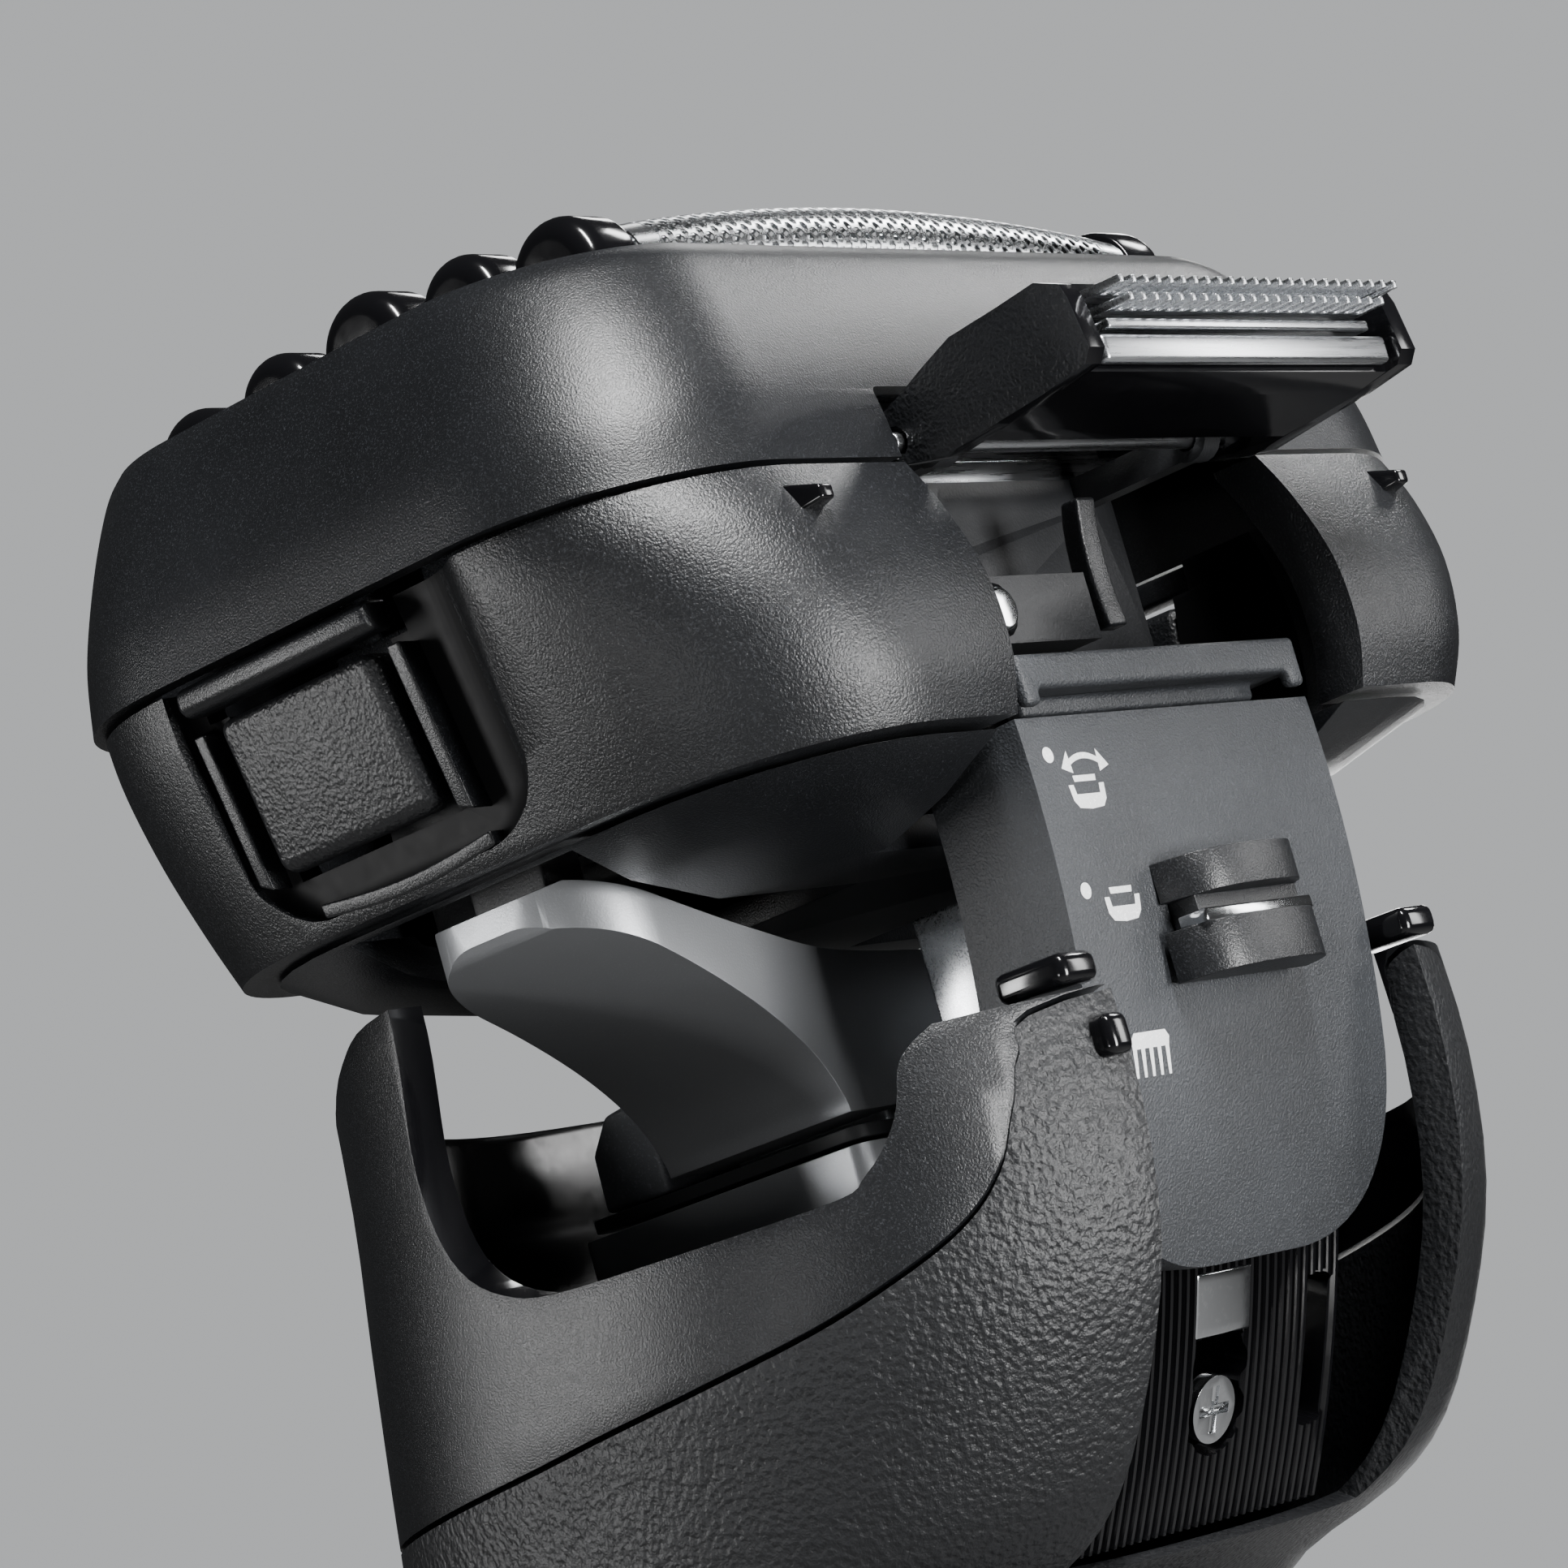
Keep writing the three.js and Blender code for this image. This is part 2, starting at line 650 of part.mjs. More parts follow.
function releaseButton(side) {
  const shape = outline([
    [headHalf - 1.1, buttonTop], [headHalf - 3, buttonBottom],
    [headHalf - 4.7, buttonBottom], [headHalf - 3.6, buttonTop],
  ].map(([x, z]) => [side * x, z]));
  return solid(alongY(shape, buttonY - buttonHalf, buttonY + buttonHalf));
}

function latchBar(side) {
  const shape = outline([
    [headHalf - 0.2, 11.1], [headHalf - 0.2, 12.0], [headHalf - 0.7, frameBottom - gap],
    [headHalf - 2.2, frameBottom - gap], [headHalf - 2.2, 10.8], [headHalf - 0.7, 10.7],
  ].map(([x, z]) => [side * x, z]));
  return solid(alongY(shape, buttonY - latchHalf, buttonY + latchHalf));
}

function undersideCover() {
  const outer = tapered(headSection, coverRows);
  const lifted = coverRows.map(([z, half, back, front]) => [z + coverThick, half, back, front]);
  const inner = tapered(headSection, stretchedRows(lifted, 0, 3), coverThick);
  const bay = block(-bayHalf, bayHalf, bayFront, 8, -8, 4);
  const slots = [-1, 1].map((side) => {
    const edges = [side * 9, side * (yokeReach + 1.4)].sort((a, b) => a - b);
    return block(...edges, yokeFront - 1.6, yokeBack + 1.6, -8, 4);
  });
  return cut(outer, inner, bay, ...slots);
}

function linearMotor() {
  const shape = roundedPlan(17.6, 13.4, 3);
  return solid(upZ(shape, -1.9, 10.6).translate(0, -25, 0));
}

function trimmerBracket() {
  const plate = block(-bayHalf + 1.4, bayHalf - 1.4, -10.6, -9.2, 3.6, 14.2);
  const shelf = block(-1.4, 8.6, -9.4, -3.6, 3.6, 7.2);
  const step = block(5.6, 9.6, -9.4, -4.6, 7.1, 8.8);
  const ears = [-1, 1].map((side) => {
    const edges = [side * earInner, side * earOuter].sort((a, b) => a - b);
    const arm = block(...edges, -9.4, trimY, trimZ - 1.1, trimZ + 0.6);
    const eye = rod(1.3, [edges[0], trimY, trimZ], [edges[1], trimY, trimZ], 16);
    return join(arm, eye);
  });
  const hole = rod(axleRadius + 0.15, [-cheekOuter, trimY, trimZ], [cheekOuter, trimY, trimZ], 12);
  const ends = [-2, -5.2].map((y) => [bracketScrewX, y, bracketScrewZ]);
  const screwHole = rod(bracketScrewRadius + gap, ...ends, 14);
  return cut(join(plate, shelf, step, ...ears), hole, screwHole);
}

function bracketScrew() {
  const ends = [-3.2, -4.8].map((y) => [bracketScrewX, y, bracketScrewZ]);
  return rod(bracketScrewRadius, ...ends, 14);
}

function trimmerAxle() {
  return rod(axleRadius, [-cheekOuter - 0.4, trimY, trimZ], [cheekOuter + 0.4, trimY, trimZ], 12);
}

// Links that lift the trimmer, on a small carrier inside the bay
function liftLink(x, width) {
  const shape = new THREE.Shape();
  shape.moveTo(-3.4, 4.2);
  shape.lineTo(-4.6, 4.2);
  shape.quadraticCurveTo(-5.4, 8, -4.4, 11.2);
  shape.lineTo(-3.2, 11.2);
  shape.quadraticCurveTo(-4, 8, -3.4, 4.2);
  return solid(acrossX(shape, x - width / 2, x + width / 2, 6));
}

// Foils and cutters

function bend(geometry) {
  const position = geometry.attributes.position;
  for (let i = 0; i < position.count; i += 1) {
    const x = position.getX(i);
    position.setZ(i, position.getZ(i) - (position.getZ(i) > foilFoot + 0.5 ? x * x / (2 * foilArch) : 0));
  }
  return geometry;
}

function archShape(half, foot, crest) {
  const shape = new THREE.Shape();
  shape.moveTo(half, foot);
  shape.lineTo(half, crest - half);
  shape.absarc(0, crest - half, half, 0, Math.PI);
  shape.lineTo(-half, foot);
  shape.closePath();
  return shape;
}

function foilSkinSolid(half, crest) {
  const steps = 6;
  const outer = acrossX(archShape(half, foilFoot, crest), -foilHalfLength, foilHalfLength, 5, steps);
  const through = foilHalfLength + 9.6;
  const hollow = archShape(half - foilSkin, foilFoot - 2, crest - foilSkin);
  const inner = acrossX(hollow, -through, through, 5, steps);
  return cut(solid(bend(outer)), solid(bend(inner)));
}

function foilFrame(half, crest) {
  const end = foilHalfLength + gap;
  const plate = block(-end - capLength, end + capLength, -half, half, foilFoot - gap - 1.2, foilFoot - gap);
  const slot = block(-end, end, -half + 0.9, half - 0.9, 20, 26);
  const caps = [-1, 1].map((side) => {
    const edges = [side * end, side * (end + capLength)].sort((a, b) => a - b);
    const arch = solid(acrossX(archShape(half, foilFoot - gap - 0.4, crest - 1), ...edges, 6));
    const nose = rod(half + 2.2, [side * (end + capLength - 3.9), -10, crest - 5.9],
      [side * (end + capLength - 3.9), 10, crest - 5.9], 32);
    const keep = block(...edges, -10, 10, 22, crest - 5);
    return arch.intersect(join(nose, keep));
  });
  return join(cut(plate, slot), ...caps);
}

function cutter(half, crest) {
  const steps = 6;
  const top = crest - foilSkin - cutterDrop;
  const inside = half - 1.25;
  const shape = archShape(inside, cutterFoot, top);
  return solid(bend(acrossX(shape, -cutterHalfLength, cutterHalfLength, 5, steps)));
}

function cuttersAt(...rows) {
  return rows.map(([, y, half, crest]) => cutter(half, crest).translate([0, y, 0]));
}

// The two outer cutters stand on one carrier that passes under the inner one
function outerCutters() {
  const [rear, front] = [foilRows[0], foilRows[4]];
  const half = cutterHalfLength - 2;
  const plate = block(-half, half, front[1] - 1.6, rear[1] + 1.6, 14.2, 15.6);
  const hole = block(-8, 8, -31, -18, 10, 20);
  const walls = [rear, front].map(([, y]) => {
    return block(1 - half, half - 1, y - 1.2, y + 1.2, 15.5, cutterFoot + 0.1);
  });
  return join(cut(plate, hole), ...walls, ...cuttersAt(rear, front));
}

function innerCutters() {
  const rows = foilRows.slice(1, 4);
  const half = cutterHalfLength - 3;
  const plate = block(-half, half, rows[2][1] - 1.4, rows[0][1] + 1.4, 17.4, cutterFoot + 0.1);
  const post = block(-3, 3, -27, -22, 11, 17.5);
  return join(plate, post, ...cuttersAt(...rows));
}

// Head frame

function headFrame() {
  const outer = tapered(headSection, frameRows);
  const inner = tapered(headSection, stretchedRows(frameRows, 2, 2), frameWall);
  const notch = block(-notchHalf, notchHalf, -9, 4, frameBottom - 2, notchTop);
  return cut(outer, inner, notch);
}

// Trimmer

const cheekLine = [
  [-2.3, 14.6], [-1.6, 15.2], [0.1, 15.8], [1.7, 16.5], [3.8, 17.3], [7.1, 17.6], [9.6, 17.9], [11, 17.3],
  [11.3, 16.5], [11.7, 13.8], [11.2, 13.1], [8.2, 12.6], [5.1, 12.3], [1.6, 11.9], [-0.2, 12.2], [-2.1, 12.6],
];

function trimmerCarrier() {
  const cheeks = [-1, 1].map((side) => {
    const edges = [side * cheekOuter, side * (cheekOuter - cheekThick)].sort((a, b) => a - b);
    return solid(acrossX(outline(cheekLine), ...edges));
  });
  const inside = cheekOuter - cheekThick + 0.2;
  const under = [[2.2, 15.5], [3.8, 16.2], [7.1, 16.5], [9.3, 16.7]];
  const over = [[9.6, 17.9], [7.1, 17.6], [3.8, 17.3], [2, 16.6]];
  const top = outline([...under, ...over]);
  const floor = outline([[3.2, 12.1], [8.2, 12.6], [10.4, 13], [10.2, 14.2], [8, 13.8], [3.2, 13.3]]);
  const spine = outline([[7.8, 13], [9.4, 13.2], [9.4, 17], [7.8, 16.8]]);
  const webs = [top, floor, spine].map((shape) => solid(acrossX(shape, -inside, inside)));
  const hole = rod(axleRadius + gap, [-cheekOuter - 1, trimY, trimZ], [cheekOuter + 1, trimY, trimZ], 14);
  return cut(join(...cheeks, ...webs), hole);
}

function toothed(half, y0, yRoot, yTip, z0, z1, teeth, fill) {
  const pitch = 2 * half / teeth;
  const points = [[-half, y0], [half, y0]];
  for (let i = teeth - 1; i >= 0; i -= 1) {
    const middle = -half + (i + 0.5) * pitch;
    const wide = pitch * fill / 2;
    points.push([middle + wide, yRoot], [middle + wide * 0.6, yTip]);
    points.push([middle - wide * 0.6, yTip], [middle - wide, yRoot]);
  }
  return upZ(outline(points), z0, z1);
}

function trimmerComb() {
  return solid(toothed(combHalf, 9.9, 11.4, 13.1, 16.6, 17.05, combTeeth, 0.55));
}

function trimmerCutter() {
  return solid(toothed(combHalf - 1, 9.9, 11.3, 12.7, 15.85, 16.3, combTeeth - 2, 0.55));
}

function steelStrip(half, y0, y1, z0, z1) {
  return block(-half, half, y0, y1, z0, z1);
}

// Assembly: handle
piece('top_shell', topShell(), satin);
piece('grip_shell', gripShell(), grain);
piece('front_panel', frontPanel(), gloss);
piece('display_window', displayWindow(), lens);
piece('power_button', powerButton(), steel);
piece('base_cap', baseCap(), satin);
piece('charging_contact_left', contactPin(contactSpan), steel);
piece('charging_contact_right', contactPin(-contactSpan), steel);
piece('guide_panel', guidePanel(), gloss);
piece('panel_screw', panelScrew(), steel);
piece('guide_block', guideBlock(), steel);
piece('rim_tab_left', rimTab(1), gloss);
piece('rim_tab_right', rimTab(-1), gloss);
piece('neck_tray', neckTray(), gloss);
piece('swing_pin', swingPin(), steel);
piece('neck_collar', collarRing(collarHalf, collarBack, collarFront, collarBottom, collarTop, 1), silver);
const sealRows = [collarTop + gap, sealTop];
const sealRing = collarRing(collarHalf - 0.5, collarBack - 0.4, collarFront + 0.4, ...sealRows, 1);
piece('collar_seal', sealRing, slate);
piece('neck_block', neckBlock(), grey);
piece('battery', battery(), wrap);
piece('circuit_board', circuitBoard(), green);

// Slider
piece('slider_plate', sliderPlate(), slate);
piece('slider_bar', sliderBar(), slate);
piece('slider_knob', sliderKnob(), satin);

// Yoke and head
piece('yoke', yoke(), silver);
for (const [name, side] of [['left', 1], ['right', -1]]) {
  piece(`bearing_block_${name}`, bearingBlock(side), slate);
  piece(`tilt_pin_${name}`, tiltPin(side), steel);
  piece(`release_button_${name}`, releaseButton(side), grain);
  piece(`latch_bar_${name}`, latchBar(side), satin);
}
piece('head_housing', headHousing(), satin);
piece('underside_cover', undersideCover(), satin);
piece('linear_motor', linearMotor(), grey);
piece('trimmer_bracket', trimmerBracket(), slate);
piece('bracket_screw', bracketScrew(), steel);
piece('trimmer_axle', trimmerAxle(), steel);
piece('lift_link_left', liftLink(8.6 + 1.6, 1.2), satin);
piece('lift_link_right', liftLink(-3, 1.6), satin);
piece('outer_cutters', outerCutters(), steel);
piece('inner_cutters', innerCutters(), steel);
piece('head_frame', headFrame(), satin);
for (const [name, y, half, crest] of foilRows) {
  piece(`${name}_foil`, foilSkinSolid(half, crest).translate([0, y, 0]), steel);
  piece(`${name}_foil_frame`, foilFrame(half, crest).translate([0, y, 0]), gloss);
}

// Trimmer
piece('trimmer_carrier', trimmerCarrier(), grain);
piece('trimmer_comb', trimmerComb(), steel);
piece('trimmer_cutter', trimmerCutter(), steel);
piece('trimmer_bar_upper', steelStrip(combHalf - 1.1, 9.8, 11.2, 15.0, 15.55), steel);
piece('trimmer_bar_lower', steelStrip(combHalf - 0.1, 10.5, 11.3, 13.25, 14.7), steel);

// The datum's place over the middle of the base
model.position.set(0, -baseMiddleY, baseDrop);
model.updateMatrixWorld(true);

export default model;
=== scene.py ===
"""Looks of an electric shaver with a five-foil head, built piece by piece around its fixed frame.

Pieces are drawn in millimetres from the datum, the top bar of the slider, and are brought to
metres over the middle of the base when they are delivered.
"""

import math

import bpy
from mathutils import Matrix, Vector


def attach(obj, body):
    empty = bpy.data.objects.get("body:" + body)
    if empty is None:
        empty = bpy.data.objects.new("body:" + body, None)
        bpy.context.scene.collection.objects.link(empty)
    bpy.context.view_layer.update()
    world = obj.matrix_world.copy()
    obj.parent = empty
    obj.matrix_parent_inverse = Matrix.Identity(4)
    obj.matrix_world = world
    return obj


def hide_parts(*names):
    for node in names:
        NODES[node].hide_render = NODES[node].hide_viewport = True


bl_info = {
    "name": "Electric Shaver",
    "version": (1, 0, 0),
    "blender": (4, 5, 0),
    "location": "View3D > Sidebar > Shaver",
    "description": "Builds the shaver's shells, head, trimmer and finishes over its frame",
    "category": "Object",
}

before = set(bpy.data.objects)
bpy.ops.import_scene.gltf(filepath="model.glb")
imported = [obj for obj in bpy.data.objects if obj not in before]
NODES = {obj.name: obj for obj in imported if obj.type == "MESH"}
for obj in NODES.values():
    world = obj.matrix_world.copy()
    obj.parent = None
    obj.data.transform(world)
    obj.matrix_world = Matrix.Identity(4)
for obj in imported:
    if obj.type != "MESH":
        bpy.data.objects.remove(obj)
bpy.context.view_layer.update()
DATUM = Vector((0.0, 0.034, 0.137))
MM = 0.001

# Head frame and housing rows: height, half width, back, front
FRAME_ROWS = [
    (12.65, 35.9, -0.5, -46.3), (16.5, 35.1, -0.9, -46.1), (21.0, 33.4, -2.5, -45.4),
    (24.6, 31.6, -4.5, -44.6), (26.0, 30.5, -5.9, -44.0),
]
HOUSING_ROWS = [
    (-1.6, 31.4, 2.0, -44.6), (1.5, 32.6, 2.8, -45.2), (5.5, 33.9, 2.6, -45.8),
    (9.5, 35.0, 1.2, -46.0), (12.3, 35.3, -0.3, -46.0),
]
HANDLE_ROWS = [
    (-137.0, 21.6, -19.8, -48.4), (-134.5, 22.8, -19.6, -49.4), (-118.0, 23.6, -21.0, -51.7),
    (-88.0, 24.7, -22.4, -54.4), (-62.0, 26.2, -22.3, -55.2), (-51.0, 27.6, -21.9, -55.1),
    (-46.6, 28.2, -20.8, -54.9), (-44.2, 28.5, -18.0, -54.7), (-42.0, 28.8, -10.2, -54.4),
    (-39.2, 29.1, -5.4, -53.9), (-34.0, 29.5, -1.4, -53.2), (-28.0, 29.9, 1.6, -52.2),
    (-21.0, 30.0, 2.9, -50.9), (-14.0, 29.7, 2.9, -49.7), (-5.0, 29.3, 2.8, -49.0),
]
SEAM_LINE = [
    (12, -14.4), (0.6, -15.4), (-0.8, -17.5), (-1.3, -19.7), (-2.4, -22.8), (-4.2, -24.9),
    (-7, -26.4), (-11, -27.7), (-17, -28.7), (-24, -29.5), (-33, -30.4), (-60, -32.4),
]
MOUTH_LINE = [
    (-31.2, 2), (-31.1, -7), (-31.9, -14), (-30.6, -18.8), (-27.4, -21.4), (-22.4, -22.3),
    (-9.2, -22.3), (-6.6, -21.4), (-5, -19.2), (-4.3, -16.6), (-3, -15.3), (12, -15.3), (12, 2),
]
FRONT_RIM_LINE = [(-60, 5), (-60, -11.5), (-44, -10), (-38, -7.4), (-34.5, -6), (-30, -5.6), (-30, 5)]
FOIL_ROWS = [
    ("rear", -11.3, 3.1, 30.3), ("rear_comb", -17.95, 2.8, 30.9), ("centre", -24.95, 3.2, 31.6),
    ("front_comb", -31.95, 2.8, 30.9), ("front", -38.6, 3.1, 30.3),
]
# the head's 12 mm corners, as shares of its frame's half width and half depth
HEAD_CORNER = (12 / 35.9, 12 / 22.9)
GAP = 0.3
SHELL_WALL = 2.4

# Slider, and the channel and guide under it
SLIDER_ARC = 70.0
ARC_CENTRE = (-70.0, -5.0)
SLIDER_HALF = 12.6
SLIDER_TOP = -1.3
SLIDER_BOTTOM = -29.3
SLIDER_THICK = 1.6
SLIDER_TRAVEL = math.radians(11.8)
CHANNEL_HALF = 13.3
GUIDE_OUTER = SLIDER_ARC - SLIDER_THICK - 0.4
GUIDE_THICK = 1.5
GUIDE_HALF = 10.5
SCREW_ANGLE = 0.475

# Front panel and power button
PANEL_HALF = 11.4
PANEL_SPAN = (-128.0, -36.0)
PANEL_THICK = 1.2
DISPLAY_HALF = 7.5
DISPLAY_SPAN = (-98.0, -72.0)
POWER_Z = -56.0
POWER_HOLE = 5.9
BASE_SEAM = -132.9

# Yoke
YOKE_REACH = 28.2
YOKE_Y = (-30.0, -17.0)
TONGUE_HALF = 8.4
SWING_Z = -24.2
TILT_Y = -23.5
TILT_Z = 0.9
LUG_SPAN = (23.0, 26.0)

# Head
HOUSING_WALL = 3.1
FRAME_WALL = 1.2
BUTTON_BOTTOM = 1.9
BUTTON_TOP = 10.1
BUTTON_LEAN = (34.8 - 32.9) / (BUTTON_TOP - BUTTON_BOTTOM)
FOIL_FOOT = 24.2
FOIL_ARCH = 132.0
FOIL_HALF = 20.4
NET_HALF = 18.7
CAP_INNER = FOIL_HALF + GAP
CAP_LENGTH = 3.6


# Colours


def linear(hex_colour):
    """An sRGB hex colour as linear red, green, blue and alpha."""
    channels = [int(hex_colour[i:i + 2], 16) / 255 for i in (1, 3, 5)]
    return tuple(c / 12.92 if c <= 0.04045 else ((c + 0.055) / 1.055) ** 2.4 for c in channels) + (1.0,)


def length(name, description, default, low, high):
    return bpy.props.FloatProperty(
        name=name, description=description, default=default, min=low, max=high, unit="LENGTH")


def colour(name, description, hex_colour):
    return bpy.props.FloatVectorProperty(
        name=name, description=description, default=linear(hex_colour), size=4, min=0, max=1, subtype="COLOR")


class ShaverSizes(bpy.types.PropertyGroup):
    """Sizes that change how the pieces are finished."""

    shell_edge: length("Shell edge", "Rounding of the outer shells' edges", 0.0003, 0.00005, 0.001)
    small_edge: length("Small edge", "Rounding of the guide's block", 0.0002, 0.00005, 0.0006)
    foil_pitch: length("Foil pitch", "Distance between the foils' holes", 0.00074, 0.0004, 0.0015)
    foil_land: length("Foil land", "Width of metal between two holes of a foil", 0.00022, 0.0001, 0.0004)
    foil_thick: length("Foil thickness", "Thickness of a foil", 0.00008, 0.00004, 0.0003)
    rib_pitch: length("Rib pitch", "Distance between the ribs of the guide panel", 0.0007, 0.0004, 0.0015)


class ShaverColours(bpy.types.PropertyGroup):
    """Main colours of the finishes."""

    shell: colour("Shell", "Satin plastic of the head and the upper handle", "#121315")
    grip: colour("Grip", "Elastomer of the grip", "#101113")
    slider: colour("Slider", "Matte plastic of the slider", "#2b2d30")
    silver: colour("Silver", "Satin metal of the yoke and the collar", "#a9abae")
    ink: colour("Ink", "Printed symbols", "#d9dadb")


def mm(name):
    """A size of the sidebar, in millimetres."""
    return getattr(bpy.context.scene.shaver_sizes, name) / MM


def tint(name):
    return tuple(getattr(bpy.context.scene.shaver_colours, name))


# Materials


def add(tree, kind, settings=None, **links):
    """One shader node: settings holds its properties and socket values, links feed its sockets."""
    node = tree.nodes.new("ShaderNode" + kind)
    for key, value in (settings or {}).items():
        if hasattr(node, key) and key not in node.inputs:
            setattr(node, key, value)
        else:
            node.inputs[key].default_value = value
    for key, output in links.items():
        tree.links.new(output, node.inputs[key.replace("_", " ")])
    return node


def per_mm(size):
    """Pattern scale for cells of a size in millimetres, on coordinates in metres."""
    return 1000 / size


def noise_per_mm(size):
    """The same for noise, whose bumps are about 1.8 cells wide."""
    return 1800 / size


def ramp_between(tree, value, low, high, start, end):
    node = add(tree, "ValToRGB", Fac=value)
    node.color_ramp.elements[0].position, node.color_ramp.elements[0].color = start, low
    node.color_ramp.elements[1].position, node.color_ramp.elements[1].color = end, high
    return node


def new_material(name, **sockets):
    """A material with its shader; uniform values go on the shader's own sockets."""
    material = bpy.data.materials.new(name)
    material.use_nodes = True
    tree = material.node_tree
    shader = tree.nodes["Principled BSDF"]
    for key, value in sockets.items():
        shader.inputs[key.replace("_", " ")].default_value = value
    return material, tree, shader, add(tree, "TexCoord").outputs["Object"]


def mixed(tree, share, first, second):
    """A mix of two colours; the first is a node's output, the second a plain colour."""
    node = add(tree, "Mix", {"data_type": "RGBA"})
    node.inputs[7].default_value = second
    tree.links.new(share, node.inputs[0])
    tree.links.new(first, node.inputs[6])
    return node.outputs[2]


def toned(rgba, factor):
    """A colour made darker or lighter by a factor."""
    return tuple(min(1, channel * factor) for channel in rgba[:3]) + (1,)


def paint(tree, shader, output):
    tree.links.new(output, shader.inputs["Base Color"])


def roughen(tree, shader, value, low, high):
    """Roughness between two levels, by a pattern."""
    spread = add(tree, "MapRange", {"To Min": low, "To Max": high}, Value=value)
    tree.links.new(spread.outputs["Result"], shader.inputs["Roughness"])


def emboss(tree, shader, height, depth, strength=1.0):
    """Relief of a depth in millimetres, by a pattern."""
    relief = add(tree, "Bump", {"Strength": strength, "Distance": depth * MM}, Height=height)
    tree.links.new(relief.outputs["Normal"], shader.inputs["Normal"])


def grained(name, rgba, roughness, grain, depth, rough_spread=0.08, mottle=0.25, painted_glints=0.5, **sockets):
    """Moulded plastic: a random grain of one size and depth in millimetres, with small tone changes, and the
    grain's tops painted lighter as painted glint specks.
    """
    material, tree, shader, place = new_material(name, **sockets)
    noise = {"Scale": noise_per_mm(grain), "Detail": 2.0, "Roughness": 0.6}
    bumps = add(tree, "TexNoise", noise, Vector=place).outputs["Fac"]
    drift = add(tree, "TexNoise", {"Scale": per_mm(9), "Detail": 3.0}, Vector=place)
    darker, lighter = toned(rgba, 1 - mottle), toned(rgba, 1 + mottle)
    tone = ramp_between(tree, drift.outputs["Fac"], darker, lighter, 0.3, 0.7)
    # painted glint: the tops of the grain are painted lighter, standing in for specks of reflected light
    painted_glint_share = add(tree, "MapRange", {"From Min": 0.56, "From Max": 0.7}, Value=bumps)
    paint(tree, shader, mixed(tree, painted_glint_share.outputs["Result"], tone.outputs["Color"], toned(rgba, 1 + painted_glints)))
    roughen(tree, shader, bumps, roughness - rough_spread, roughness + rough_spread)
    emboss(tree, shader, bumps, depth)
    return material


def cell_grained(name, rgba, roughness, grain, depth, **sockets):
    """Leather-like moulding: rounded cells of one size in millimetres, warped so none repeats, with painted
    shade in the cells' low centres and painted highlight on their raised rims.
    """
    material, tree, shader, place = new_material(name, **sockets)
    warp = add(tree, "TexNoise", {"Scale": noise_per_mm(grain), "Detail": 3.0}, Vector=place)
    cells = add(tree, "TexVoronoi", {"feature": "SMOOTH_F1", "Scale": per_mm(grain), "Smoothness": 0.6},
                Vector=place)
    height = add(tree, "Math", {"operation": "ADD"})
    tree.links.new(cells.outputs["Distance"], height.inputs[0])
    tree.links.new(warp.outputs["Fac"], height.inputs[1])
    height = height.outputs["Value"]
    emboss(tree, shader, height, depth)
    # painted shade and highlight: the colour follows the relief, darker where it is low and lighter where it
    # is raised
    tone = ramp_between(tree, height, toned(rgba, 0.75), toned(rgba, 1.3), 0.45, 1.1)
    paint(tree, shader, tone.outputs["Color"])
    roughen(tree, shader, warp.outputs["Fac"], roughness - 0.08, roughness + 0.1)
    return material


def brushed(name, rgba, roughness, lay, **sockets):
    """Brushed metal: fine lines along the lay, drawn by stretching the grain along it."""
    material, tree, shader, place = new_material(name, Metallic=1.0, **sockets)
    stretched = add(tree, "Mapping", {"Scale": lay}, Vector=place)
    noise = {"Scale": per_mm(0.12), "Detail": 3.0}
    lines = add(tree, "TexNoise", noise, Vector=stretched.outputs["Vector"]).outputs["Fac"]
    roughen(tree, shader, lines, roughness - 0.05, roughness + 0.09)
    paint(tree, shader, ramp_between(tree, lines, toned(rgba, 0.93), rgba, 0.35, 0.65).outputs["Color"])
    emboss(tree, shader, lines, 0.002, 0.3)
    return material


def polished(name, rgba, roughness, **sockets):
    """Polished plastic: almost smooth, with faint long waves of the mould and hairline wear."""
    material, tree, shader, place = new_material(name, **sockets)
    wave = add(tree, "TexNoise", {"Scale": per_mm(6), "Detail": 2.0}, Vector=place).outputs["Fac"]
    wear = add(tree, "TexNoise", {"Scale": per_mm(0.8), "Detail": 4.0}, Vector=place).outputs["Fac"]
    paint(tree, shader, ramp_between(tree, wave, toned(rgba, 0.8), rgba, 0.3, 0.7).outputs["Color"])
    roughen(tree, shader, wear, roughness, roughness + 0.12)
    emboss(tree, shader, wave, 0.01, 0.3)
    return material


